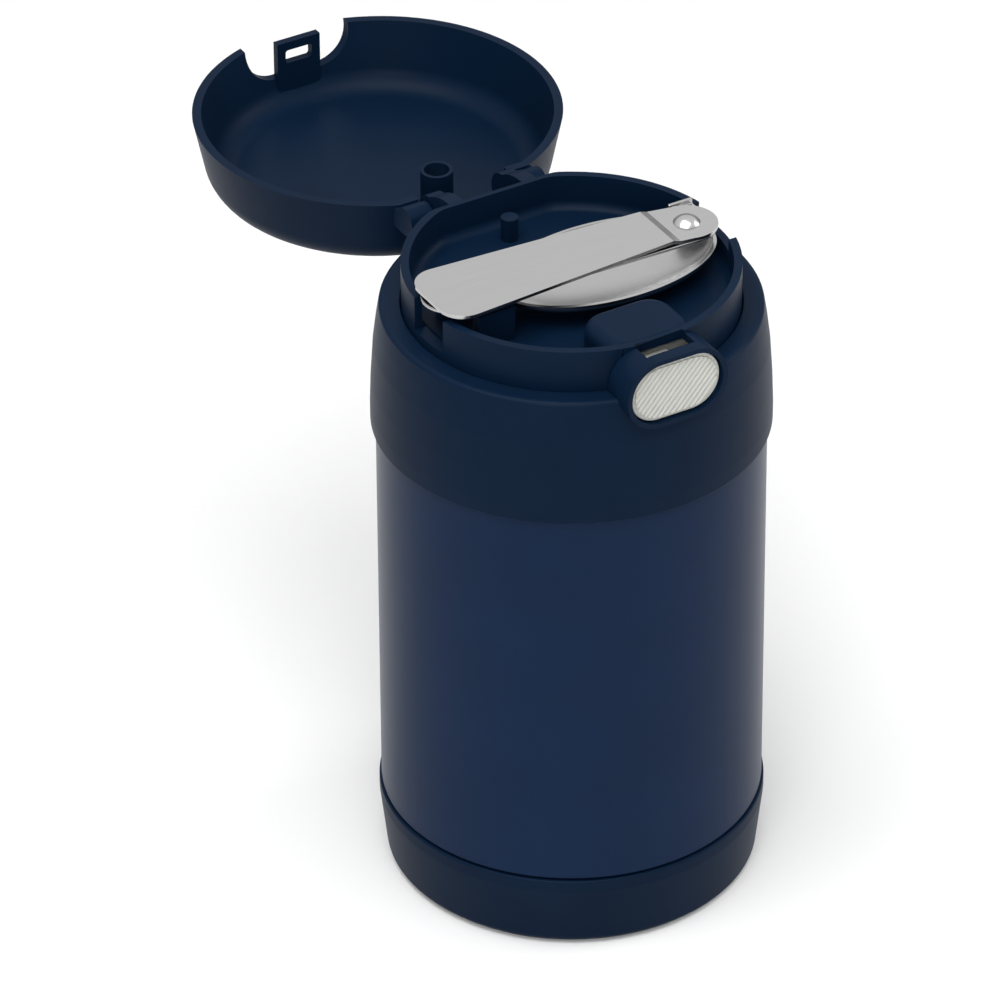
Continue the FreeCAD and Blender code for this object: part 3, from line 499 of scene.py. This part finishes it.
def spoon_steel():
    return metal("spoon steel", finish().spoon, 0.22, (60.0, 2200.0, 2200.0), 0.0000005)


def plain_steel():
    return metal("inner steel", (0.52, 0.52, 0.52), 0.34, (300.0, 300.0, 2400.0), 0.000003)


def foil_metal():
    return metal("copper foil", (0.62, 0.42, 0.30), 0.3, (200.0, 200.0, 900.0), 0.00002)


# Places of the pieces in millimetres, with the cover closed

SHOULDER = 147.9
TRAY_FLOOR = 149.3
TRAY_FLAT = 34.6
TRAY_WALL = 1.9
ABOVE = 170.0

POST_Y = 27.1
POST_TOP = 155.0
POST_RADIUS = 2.0
BOSS_RADIUS = 3.8
BOSS_BORE = 2.95

EAR_RADIUS = 4.6
EAR_INSIDE = 7.6
EAR_OUTSIDE = 11.4
KNUCKLE_RADIUS = 3.4
ARM_INSIDE = 11.85
ARM_OUTSIDE = 17.85
EAR_BORE = 1.03
ARM_BORE = 1.05

NECK_RADIUS = 38.6
NECK_BORE = 38.0
NECK_FOOT = 121.4
THREAD_STARTS = (126.0, 130.0)
THREAD_LEAD = 3.0
THREAD_SECTION = ((38.45, 0), (39.0, 0.7), (39.0, 1.1), (38.45, 1.8))

BUTTON_MIDDLE = 149.0
BUTTON_HALF = (11.35, 7.2)
BUTTON_RECESS = 0.45
RIB_RADIUS = 0.52
RIB_PITCH = 1.62
RIB_SLANT = math.radians(42)
RIB_MARGIN = 0.9
BEZEL_HALF = (12.8, 8.65)
PASSAGE_HALF = 9.55
PASSAGE_FRONT = 42.9
PASSAGE_LOW = 144.0
PASSAGE_HIGH = 155.5
LATCH_HALF = 9.2
LATCH_LOW = 144.3
BAR_FRONT = 35.0
BAR_BACK = 33.0

SLOT_HALF = 6.2
SLOT_FRONT = 42.3
SLOT_MIDDLE = 39.8
SLOT_BACK = 36.9
SLOT_FLOOR = 146.5
LOOP_HALF = 5.7
LOOP_FRONT = 39.3
LOOP_BACK = 37.4

COVER_DEPTH = 18.2
COVER_WALL = 2.1
COVER_LEAN = 3.7
COVER_ROUND = 7.85
COVER_FLAT = 39.4

SHEET = 0.8
PIVOT = Vector((29.0, -1.8))
BOWL_PIVOT = -31.0
BOWL_FRONT = 35.8
BOWL_BACK = -19.0
BOWL_MIDDLE_Y = -0.9
BOWL_DEPTH = 6.0
NECK_HALF = 4.2
LINK_RADIUS = 6.8
HANDLE_RADIUS = 7.1
HANDLE_END = -37.3
HANDLE_STEP = 1.9
HANDLE_WIDTH = 14.5


# Pieces


def make_base_cap():
    sizes = jar()
    edge = sizes.base_radius / MM
    top = sizes.base_height / MM
    bore = sizes.body_radius / MM - 1.7
    piece = turned("base_cap_skin", [
        (0, 1.2), (32.8, 1.2, 0.4), (34.0, 0.0, 0.3), (41.4, 0.0, 1.2), (43.1, 1.6, 2.0),
        (edge, top - 3.0, 4.0), (edge, top, 0.45), (bore, top, 0.2),
        (bore, 4.5), (30.0, 4.5), (29.0, 3.0), (0, 3.0),
    ])
    return hand_over(piece, navy_plastic(), "flask", "navy_plastic", "base_cap")


def make_thread(start):
    """One start of the neck's thread."""
    ring = wire("thread", [Vector((u, 0, v + start)) * MM for u, v in THREAD_SECTION])
    put_down()
    modify(ring, "SCREW", angle=math.radians(300), screw_offset=THREAD_LEAD * MM, axis="Z", steps=90,
           render_steps=90, use_merge_vertices=True)
    edit(ring, "EDGE")
    bpy.ops.mesh.select_all(action="DESELECT")
    bpy.ops.mesh.select_non_manifold()
    bpy.ops.mesh.edge_face_add()
    tidy_mesh(ring)
    return ring


def make_outer_shell():
    sizes = jar()
    r = sizes.body_radius / MM
    step = sizes.base_height / MM + 0.1
    top = sizes.neck_top / MM
    piece = turned("outer_shell_skin", [
        (41.8, 5.1), (42.4, 5.1), (42.4, step + 0.35, 0.2), (r, step + 0.35, 0.5),
        (r, 120.0, 2.0), (r - 2.2, 120.9, 1.0), (NECK_RADIUS, NECK_FOOT, 1.0), (NECK_RADIUS, top),
        (NECK_BORE, top), (NECK_BORE, NECK_FOOT - 0.8), (r - 2.8, 120.2), (r - 0.6, 118.8),
        (r - 0.6, step + 1.4), (41.8, step + 1.0),
    ], 200)
    for start in THREAD_STARTS:
        thread = make_thread(start)
        pick(piece)
        thread.select_set(True)
        bpy.ops.object.join()
    return hand_over(piece, navy_paint(), "flask", "navy_paint", "outer_shell")


def passage(back):
    """The room that the button's stem and bar slide through."""
    return block("passage", (-PASSAGE_HALF, -PASSAGE_FRONT, PASSAGE_LOW),
                 (PASSAGE_HALF, back, PASSAGE_HIGH))


def loop_slot(top):
    """The slot that the cover's loop drops into."""
    return block("loop_slot", (-SLOT_HALF, -SLOT_MIDDLE, SLOT_FLOOR), (SLOT_HALF, -SLOT_BACK, top))


def make_collar():
    sizes = jar()
    r = sizes.collar_radius / MM
    low = sizes.collar_bottom / MM
    face = sizes.bezel_face / MM
    piece = turned("lid_collar_skin", [
        (r, low, 0.35), (r, low + 4, 6.0), (r - 0.25, low + 11, 20.0), (r - 0.85, low + 20, 20.0),
        (43.8, SHOULDER - 4.5, 12.0), (43.1, SHOULDER - 0.2, 1.1), (42.0, SHOULDER, 0.8),
        (38.3, SHOULDER, 0.3), (38.3, SHOULDER - 2.0), (41.1, SHOULDER - 2.0),
        (r - 2.85, low + 20), (r - 2.0, low + 4), (44.6, low + 3), (44.6, low, 0.2),
    ], 200)
    bezel = slab("bezel", "y", obround(*BEZEL_HALF, BUTTON_MIDDLE), -face, -37.0, 16)
    join(piece, bezel)
    carve(
        piece,
        rod("bore", "z", (0, 0), 38.3, 138.6, ABOVE, 160),
        slab("opening", "y", obround(BUTTON_HALF[0] + 0.35, BUTTON_HALF[1] + 0.35, BUTTON_MIDDLE),
             -50.0, -40.8, 16),
        passage(-30.0),
        block("window", (-SLOT_HALF, -SLOT_FRONT, 154.7), (SLOT_HALF, -SLOT_BACK, 162.0)),
        loop_slot(162.0),
        block("hinge_room_right", (7.25, 39.75, 146.75), (18.1, 48.0, 149.0)),
        block("hinge_room_left", (-18.1, 39.75, 146.75), (-7.25, 48.0, 149.0)),
    )
    soften(piece, 0.35)
    return hand_over(piece, navy_plastic(), "lid", "navy_plastic", "lid_collar")


def flat_backed(name, radius, flat, corner, low, high):
    """A round block with a flat back whose two corners are rounded."""
    round_block = rod(name, "z", (0, 0), radius, low, high, 160)
    behind = block(name + "_behind", (-60, flat, low - 1), (60, 60, high + 1))
    carve(round_block, behind)
    tidy_mesh(round_block)
    round_edges(round_block, corner * 0.42, 8,
                lambda a, b: (a - b).xy.length < 0.001 and abs(a.y - flat) < 0.01)
    tidy_mesh(round_block)
    return round_block


def make_ear(axis_y, axis_z, rim):
    """One tray ear: it leaves the wall at rim height and curves down round the hinge axis."""
    reach = axis_y - TRAY_FLAT
    fall = rim - axis_z - EAR_RADIUS
    sweep = (reach * reach + fall * fall) / (2 * fall)
    ear = block("ear_right", (EAR_INSIDE, TRAY_FLAT - 1, SHOULDER + 0.1), (EAR_OUTSIDE, axis_y, rim))
    carve(ear, rod("ear_arc", "x", (TRAY_FLAT, rim - sweep), sweep, 7.0, 12.0, 200),
          operation="INTERSECT")
    knuckle = rod("ear_round", "x", (axis_y, axis_z), EAR_RADIUS, EAR_INSIDE, EAR_OUTSIDE)
    carve(knuckle, block("ear_room", (7.0, axis_y - KNUCKLE_RADIUS, axis_z - KNUCKLE_RADIUS),
                         (12.0, axis_y + 10, axis_z + 10)), operation="INTERSECT")
    return join(ear, knuckle)


def make_tray():
    sizes = jar()
    r = sizes.tray_radius / MM
    rim = sizes.tray_rim / MM
    axis_y = sizes.hinge_y / MM
    axis_z = sizes.hinge_z / MM
    piece = rod("lid_tray_skin", "z", (0, 0), r, 140.0, SHOULDER, 160)
    join(piece, flat_backed("wall", r, TRAY_FLAT, 5.0, SHOULDER - 0.5, rim))
    well = flat_backed("well", r - TRAY_WALL, TRAY_FLAT - 1.2, 4.0, TRAY_FLOOR, rim + 5)
    round_edges(well, 2.2, 6, at_height(TRAY_FLOOR))
    carve(piece, well, rod("under", "z", (0, 0), r - TRAY_WALL, 139.0, 147.4, 160))
    ear = make_ear(axis_y, axis_z, rim)
    ear_left = mirrored(ear, "ear_left")
    hump = block("hump", (-10.9, -37.4, TRAY_FLOOR - 1), (10.9, -19.25, rim - 0.6), 6.0)
    round_edges(hump, 3.0, 8, at_height(rim - 0.6))
    carve(hump, rod("hump_limit", "z", (0, 0), r - 0.5, 140.0, ABOVE, 160), operation="INTERSECT")
    post = rod("post", "z", (0, POST_Y), POST_RADIUS, TRAY_FLOOR - 1, POST_TOP, 48)
    join(piece, ear, ear_left, hump, post,
         block("rest_front", (-29.5, -9.8, TRAY_FLOOR - 1), (-20.4, -7.0, rim - 0.2)),
         block("rest_back", (-29.5, 7.0, TRAY_FLOOR - 1), (-20.4, 9.8, rim - 0.2)))
    carve(piece,
          block("left_notch", (-(r + 1), -7.3, TRAY_FLOOR + 0.4), (-(r - 5.9), 4.4, rim + 5)),
          block("right_notch", (r - 5.9, -10.5, rim - 3), (r + 1, 6.6, rim + 5)),
          passage(-20.95),
          loop_slot(165.0),
          rod("ear_bore", "x", (axis_y, axis_z), EAR_BORE, -12.5, 12.5, 32))
    soften(piece, 0.4)
    return hand_over(piece, navy_plastic(), "lid", "navy_plastic", "lid_tray")


def drafted(name, radius, low, high, lean, corner, flat, below=0.0):
    """A round block that leans in towards its rounded top edge, with a flat back."""
    corners = [(0, low - below), (radius, low - below)]
    if below:
        corners.append((radius, low))
    corners += [(radius - lean, high, corner), (0, high)]
    piece = turned(name, corners, 200, 12)
    carve(piece, block(name + "_behind", (-60, flat, low - below - 1), (60, 80, high + 1)))
    return piece


def make_cover():
    sizes = jar()
    r = sizes.cover_radius / MM
    axis_y = sizes.hinge_y / MM
    axis_z = sizes.hinge_z / MM
    low = SHOULDER + 0.5
    high = low + COVER_DEPTH
    ceiling = high - COVER_WALL
    piece = drafted("cover_skin", r, low, high, COVER_LEAN, COVER_ROUND, COVER_FLAT)
    corner = BEZEL_HALF[1] + 0.35
    carve(piece,
          drafted("cavity", r - COVER_WALL, low, ceiling, COVER_LEAN, 6.25, 37.3, 2.0),
          slab("button_gap", "y", [(-13.8, low - 8), (13.8, low - 8), (13.8, 158.0, corner),
                                   (-13.8, 158.0, corner)], -(r + 3), -(r - 9), 16),
          block("ear_notch", (-ARM_INSIDE, 36.3, low - 1), (ARM_INSIDE, 41.0, 158.25)))
    arm = block("arm", (ARM_INSIDE, 38.4, low + 0.5), (ARM_OUTSIDE, axis_y, axis_z + KNUCKLE_RADIUS))
    join(arm, rod("knuckle", "x", (axis_y, axis_z), KNUCKLE_RADIUS, ARM_INSIDE, ARM_OUTSIDE))
    arm_left = mirrored(arm, "arm_left")
    loop = block("loop", (-LOOP_HALF, -LOOP_FRONT, low), (LOOP_HALF, -LOOP_BACK, ceiling + 0.5))
    carve(loop, drafted("loop_limit", r - 0.4, low, high, COVER_LEAN, COVER_ROUND, COVER_FLAT, 1.0),
          operation="INTERSECT")
    carve(loop, slab("loop_window", "y", [(-3.5, low + 2.2, 0.7), (3.5, low + 2.2, 0.7),
                                          (3.5, low + 5.6, 0.7), (-3.5, low + 5.6, 0.7)], -41.0, -36.0))
    boss = rod("boss", "z", (0, POST_Y), BOSS_RADIUS, POST_TOP - 4.4, ceiling + 0.5, 64)
    carve(boss, rod("boss_bore", "z", (0, POST_Y), BOSS_BORE, 149.0, POST_TOP + 1.7, 64))
    join(piece, arm, arm_left, loop, boss)
    carve(piece, rod("bore_right", "x", (axis_y, axis_z), ARM_BORE, 10.9, 17.7, 32),
          rod("bore_left", "x", (axis_y, axis_z), ARM_BORE, -17.7, -10.9, 32))
    soften(piece, 0.4)
    lay_open(piece)
    return hand_over(piece, navy_plastic(), "cover", "navy_plastic", "cover")


def lay_open(piece):
    """Turns a piece that was modelled closed half a turn about the hinge axis."""
    sizes = jar()
    axis = Vector((0, sizes.hinge_y, sizes.hinge_z))
    edit(piece)
    bpy.ops.transform.rotate(value=math.pi, orient_axis="X", orient_type="GLOBAL", center_override=axis)
    put_down()


def make_bumper():
    piece = rod("bumper_skin", "z", (0, POST_Y), 2.9, POST_TOP + 0.2, POST_TOP + 1.7, 48)
    soften(piece, 0.25)
    lay_open(piece)
    return hand_over(piece, silicone(), "cover", "silicone", "cover_bumper")


def make_ribs(face):
    """The slanted ribs of the button's face, cut off before its edge."""
    ribs = []
    for n in range(-7, 8):
        put_down()
        bpy.ops.mesh.primitive_cylinder_add(
            vertices=24, radius=RIB_RADIUS * MM, depth=30 * MM,
            location=(n * RIB_PITCH * MM, (-face + RIB_RADIUS) * MM, BUTTON_MIDDLE * MM),
            rotation=(0, RIB_SLANT, 0))
        rib = bpy.context.object
        settle(rib)
        ribs.append(rib)
    area = slab("rib_area", "y", obround(BUTTON_HALF[0] - RIB_MARGIN, BUTTON_HALF[1] - RIB_MARGIN,
                                         BUTTON_MIDDLE), -face - 1, -43.5, 16)
    first = ribs[0]
    pick(first)
    for rib in ribs[1:]:
        rib.select_set(True)
    bpy.ops.object.join()
    return carve(first, area, operation="INTERSECT")


def make_latch():
    """The stem behind the button, its two arms, the bar and the tooth that holds the loop."""
    stem = block("stem", (-LATCH_HALF, -42.7, LATCH_LOW), (LATCH_HALF, -41.0, 155.2))
    bar = block("bar", (-LATCH_HALF, -BAR_FRONT, LATCH_LOW), (LATCH_HALF, -BAR_BACK, 153.6))
    arm = block("arm", (6.9, -41.1, LATCH_LOW), (LATCH_HALF, -BAR_BACK, 148.3))
    arm_left = mirrored(arm, "arm_left")
    tooth = slab("tooth", "x", [(-35.1, 151.0), (-38.7, 151.0), (-38.7, 151.9), (-37.2, 153.4),
                                (-35.1, 153.4)], -2.9, 2.9)
    join(stem, arm, arm_left, bar, tooth)
    return soften(stem, 0.2, 2)


def make_button():
    sizes = jar()
    face = sizes.button_face / MM
    piece = slab("latch_button_skin", "y", obround(*BUTTON_HALF, BUTTON_MIDDLE), -face + BUTTON_RECESS,
                 -42.6, 16)
    soften(piece, 0.3)
    ribs = make_ribs(face)
    latch = make_latch()
    pick(piece)
    ribs.select_set(True)
    latch.select_set(True)
    bpy.ops.object.join()
    return hand_over(piece, button_plastic(), "button", "grey_plastic", "latch_button")


def make_spoon_bowl():
    rim = BOWL_LOW.z / MM + BOWL_DEPTH
    neck_high = LINK_LOW.z / MM - 0.1
    neck_low = neck_high - SHEET
    half_length = (BOWL_FRONT - BOWL_BACK) / 2
    middle = Vector((BOWL_FRONT - half_length, BOWL_MIDDLE_Y, rim))
    put_down()
    bpy.ops.mesh.primitive_uv_sphere_add(segments=96, ring_count=64, radius=MM, location=middle * MM)
    dish = bpy.context.object
    dish.name = "spoon_bowl_skin"
    dish.scale = (half_length, (BOWL_HIGH.y - BOWL_LOW.y) / (2 * MM), BOWL_DEPTH)
    settle(dish)
    edit(dish)
    bpy.ops.mesh.bisect(plane_co=(0, 0, rim * MM), plane_no=(0, 0, 1), clear_outer=True)
    put_down()
    modify(dish, "SOLIDIFY", thickness=SHEET * MM, offset=-1, use_even_offset=True)
    neck = slab("neck", "y", [(BOWL_PIVOT, neck_low), (-22.0, neck_low), (-16.5, rim - 1.1),
                              (-15.5, rim - 0.4), (-21.5, neck_high), (BOWL_PIVOT, neck_high)],
                -NECK_HALF, NECK_HALF)
    join(neck, rod("neck_end", "z", (BOWL_PIVOT, 0), 4.9, neck_low, neck_high, 48))
    join(dish, neck)
    soften(dish, 0.2, 3, 50)
    return hand_over(dish, spoon_steel(), "spoon_bowl", "spoon_steel", "spoon_bowl", smooth=50)


def make_spoon_link():
    low = LINK_LOW.z / MM
    high = low + SHEET
    r = LINK_RADIUS
    x, y = PIVOT
    stop = HANDLE_RADIUS - 1.8 + 0.35 + SHEET
    piece = slab("spoon_link_skin", "z", [(BOWL_PIVOT, -r), (x, y - r), (x, y + r), (BOWL_PIVOT, r)],
                 low, high)
    join(piece, rod("left", "z", (BOWL_PIVOT, 0), r, low, high), rod("right", "z", PIVOT, r, low, high),
         block("wing", (x, y, low), (x + r - 0.6, stop, high)),
         block("stop", (x, stop - SHEET, low), (x + r - 0.6, stop, LINK_HIGH.z / MM)))
    soften(piece, 0.25)
    return hand_over(piece, spoon_steel(), "spoon_link", "spoon_steel", "spoon_link")


def make_spoon_handle():
    low = HANDLE_LOW.z / MM
    high = HANDLE_HIGH.z / MM
    r = HANDLE_RADIUS
    x, y = PIVOT
    jog = x - r - 0.2
    foot = jog + HANDLE_STEP
    front = (y - HANDLE_WIDTH) / 2
    back = (y + HANDLE_WIDTH) / 2
    piece = slab("spoon_handle_skin", "z", [(HANDLE_END, -12.2, 6.0), (jog, front), (jog, back),
                                            (HANDLE_END, 10.0, 6.0)], high - SHEET, high, 12)
    ramp = slab("ramp", "y", [(jog - 0.5, high - SHEET), (jog - 0.5, high), (jog, high),
                              (foot, low + SHEET), (foot + 0.5, low + SHEET), (foot + 0.5, low),
                              (foot, low), (jog, high - SHEET)], front, back)
    join(piece, ramp,
         slab("ear", "z", [(foot, front), (x, y - r), (x, y + r), (foot, back)], low, low + SHEET),
         rod("end", "z", PIVOT, r, low, low + SHEET))
    soften(piece, 0.34, 6, 25)
    return hand_over(piece, spoon_steel(), "spoon_handle", "spoon_steel", "spoon_handle", smooth=16)


def dress_node(node, material):
    """Gives a frame node that shows as it is its finish."""
    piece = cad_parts[node]
    piece.data.materials.clear()
    piece.data.materials.append(material)


def dress_nodes():
    steel = plain_steel()
    for node in ("inner_liner", "bottom_plate", "getter", "vacuum_seal", "hinge_pin_left",
                 "hinge_pin_right", "button_spring"):
        dress_node(node, steel)
    for node in ("bowl_rivet", "handle_rivet"):
        dress_node(node, spoon_steel())
    dress_node("radiation_foil", foil_metal())
    dress_node("lid_foam", foam_plastic())
    dress_node("inner_lid", inner_plastic())
    dress_node("lid_gasket", silicone())


# Stage

CAMERA_DISTANCE = 1.70696
CAMERA_TURN = math.radians(31.0)
CAMERA_RISE = math.radians(33.8)
CAMERA_TARGET = Vector((0, 0, 0.0925))
CAMERA_LENS = 270.3
CAMERA_SHIFT = (-0.0715, 0.00466)

FLOOR_GLOW = 0.05
LAMP_TARGET = Vector((0, 0, 0.1))


def make_camera():
    flat = CAMERA_DISTANCE * math.cos(CAMERA_RISE)
    place = CAMERA_TARGET + Vector((-math.sin(CAMERA_TURN) * flat, -math.cos(CAMERA_TURN) * flat,
                                    CAMERA_DISTANCE * math.sin(CAMERA_RISE)))
    put_down()
    bpy.ops.object.camera_add(location=place)
    camera = bpy.context.object
    camera.rotation_euler = (CAMERA_TARGET - place).to_track_quat("-Z", "Y").to_euler()
    camera.data.lens = CAMERA_LENS
    camera.data.sensor_width = 36.0
    camera.data.shift_x, camera.data.shift_y = CAMERA_SHIFT
    camera.data.clip_end = 20.0
    bpy.context.scene.camera = camera


def softbox(name, place, width, height, power):
    put_down()
    bpy.ops.object.light_add(type="AREA", location=place)
    lamp = bpy.context.object
    lamp.name = name
    lamp.rotation_euler = (LAMP_TARGET - Vector(place)).to_track_quat("-Z", "Y").to_euler()
    lamp.data.shape = "RECTANGLE"
    lamp.data.size = width
    lamp.data.size_y = height
    lamp.data.energy = power


def make_floor():
    put_down()
    bpy.ops.mesh.primitive_plane_add(size=12)
    floor = bpy.context.object
    floor.name = "floor"
    material, tree, shader = base_material("pale floor")
    nodes, links = tree.nodes, tree.links
    shader.inputs["Base Color"].default_value = (0.86, 0.86, 0.86, 1)
    shader.inputs["Roughness"].default_value = 0.9
    shader.inputs["Specular IOR Level"].default_value = 0.0
    glow = nodes.new("ShaderNodeEmission")
    glow.inputs["Color"].default_value = (1, 1, 1, 1)
    path = nodes.new("ShaderNodeLightPath")
    seen = nodes.new("ShaderNodeMath")
    seen.operation = "MULTIPLY"
    seen.inputs[1].default_value = FLOOR_GLOW
    links.new(path.outputs["Is Camera Ray"], seen.inputs[0])
    links.new(seen.outputs[0], glow.inputs["Strength"])
    both = nodes.new("ShaderNodeAddShader")
    links.new(shader.outputs[0], both.inputs[0])
    links.new(glow.outputs[0], both.inputs[1])
    links.new(both.outputs[0], nodes["Material Output"].inputs["Surface"])
    floor.data.materials.append(material)


def make_world():
    world = bpy.data.worlds.new("studio")
    bpy.context.scene.world = world
    world.use_nodes = True
    nodes, links = world.node_tree.nodes, world.node_tree.links
    back = nodes["Background"]
    back.inputs["Color"].default_value = (1, 1, 1, 1)
    path = nodes.new("ShaderNodeLightPath")
    sky = nodes.new("ShaderNodeTexCoord")
    height = nodes.new("ShaderNodeSeparateXYZ")
    links.new(sky.outputs["Generated"], height.inputs["Vector"])
    gloss = nodes.new("ShaderNodeMapRange")
    gloss.interpolation_type = "SMOOTHSTEP"
    gloss.inputs["From Min"].default_value = 0.1
    gloss.inputs["From Max"].default_value = 0.5
    gloss.inputs["To Min"].default_value = -0.3
    gloss.inputs["To Max"].default_value = 1.0
    links.new(height.outputs["Z"], gloss.inputs["Value"])
    reflected = nodes.new("ShaderNodeMath")
    reflected.operation = "MULTIPLY"
    links.new(path.outputs["Is Glossy Ray"], reflected.inputs[0])
    links.new(gloss.outputs["Result"], reflected.inputs[1])
    camera_or_gloss = nodes.new("ShaderNodeMath")
    camera_or_gloss.operation = "ADD"
    links.new(path.outputs["Is Camera Ray"], camera_or_gloss.inputs[0])
    links.new(reflected.outputs[0], camera_or_gloss.inputs[1])
    through = nodes.new("ShaderNodeMath")
    through.operation = "ADD"
    links.new(camera_or_gloss.outputs[0], through.inputs[0])
    links.new(path.outputs["Is Transmission Ray"], through.inputs[1])
    strength = nodes.new("ShaderNodeMapRange")
    strength.clamp = False
    strength.inputs["To Min"].default_value = 0.45
    strength.inputs["To Max"].default_value = 1.0
    links.new(through.outputs[0], strength.inputs["Value"])
    links.new(strength.outputs["Result"], back.inputs["Strength"])


# Operators


class AddFlask(bpy.types.Operator):
    """Adds the painted steel wall and the base cap."""

    bl_idname = "jar.flask"
    bl_label = "Flask"
    bl_options = {"REGISTER", "UNDO"}

    def execute(self, context):
        make_outer_shell()
        make_base_cap()
        return {"FINISHED"}


class AddCollar(bpy.types.Operator):
    """Adds the lid collar with the frame round the button."""

    bl_idname = "jar.collar"
    bl_label = "Lid collar"
    bl_options = {"REGISTER", "UNDO"}

    def execute(self, context):
        make_collar()
        return {"FINISHED"}


class AddTray(bpy.types.Operator):
    """Adds the tray with its ears, post, rests and hump."""

    bl_idname = "jar.tray"
    bl_label = "Lid tray"
    bl_options = {"REGISTER", "UNDO"}

    def execute(self, context):
        make_tray()
        return {"FINISHED"}


class AddCover(bpy.types.Operator):
    """Adds the cover, laid open, and the soft disc in its boss."""

    bl_idname = "jar.cover"
    bl_label = "Cover"
    bl_options = {"REGISTER", "UNDO"}

    def execute(self, context):
        make_cover()
        make_bumper()
        return {"FINISHED"}


class AddButton(bpy.types.Operator):
    """Adds the push button with its latch."""

    bl_idname = "jar.button"
    bl_label = "Push button"
    bl_options = {"REGISTER", "UNDO"}

    def execute(self, context):
        make_button()
        return {"FINISHED"}


class AddSpoon(bpy.types.Operator):
    """Adds the three pieces of the folding spoon."""

    bl_idname = "jar.spoon"
    bl_label = "Folding spoon"
    bl_options = {"REGISTER", "UNDO"}

    def execute(self, context):
        make_spoon_bowl()
        make_spoon_link()
        make_spoon_handle()
        return {"FINISHED"}


class DressNodes(bpy.types.Operator):
    """Gives the frame's own pieces their finish."""

    bl_idname = "jar.dress"
    bl_label = "Inner pieces"
    bl_options = {"REGISTER", "UNDO"}

    def execute(self, context):
        dress_nodes()
        return {"FINISHED"}


class SetStage(bpy.types.Operator):
    """Sets the camera, the lamps, the floor and the white background."""

    bl_idname = "jar.stage"
    bl_label = "Stage"
    bl_options = {"REGISTER", "UNDO"}

    def execute(self, context):
        make_camera()
        make_floor()
        make_world()
        softbox("top softbox", (-0.25, -0.15, 1.1), 1.0, 0.8, 11)
        softbox("front softbox", (-0.9, -1.1, 0.7), 0.8, 0.8, 7)
        softbox("right softbox", (1.1, -0.3, 0.6), 0.6, 0.9, 5)
        context.scene.view_settings.view_transform = "Standard"
        return {"FINISHED"}


OPERATORS = (SetStage, AddFlask, AddCollar, AddTray, AddCover, AddButton, AddSpoon, DressNodes)


class JarPanel(bpy.types.Panel):
    """Lists the jar's sizes, colours and pieces."""

    bl_idname = "VIEW3D_PT_jar"
    bl_label = "Food jar"
    bl_space_type = "VIEW_3D"
    bl_region_type = "UI"
    bl_category = "Jar"

    def draw(self, context):
        for group in (context.scene.jar_sizes, context.scene.jar_finish):
            for name in group.__annotations__:
                self.layout.prop(group, name)
        for operator in OPERATORS:
            self.layout.operator(operator.bl_idname)


CLASSES = (JarSizes, JarFinish, *OPERATORS, JarPanel)


def register():
    for cls in CLASSES:
        bpy.utils.register_class(cls)
    bpy.types.Scene.jar_sizes = bpy.props.PointerProperty(type=JarSizes)
    bpy.types.Scene.jar_finish = bpy.props.PointerProperty(type=JarFinish)


def unregister():
    del bpy.types.Scene.jar_finish
    del bpy.types.Scene.jar_sizes
    for cls in reversed(CLASSES):
        bpy.utils.unregister_class(cls)


def main():
    register()
    bpy.ops.jar.stage()
    bpy.ops.jar.flask()
    bpy.ops.jar.collar()
    bpy.ops.jar.tray()
    bpy.ops.jar.cover()
    bpy.ops.jar.button()
    bpy.ops.jar.spoon()
    bpy.ops.jar.dress()


if __name__ == "__main__":
    main()
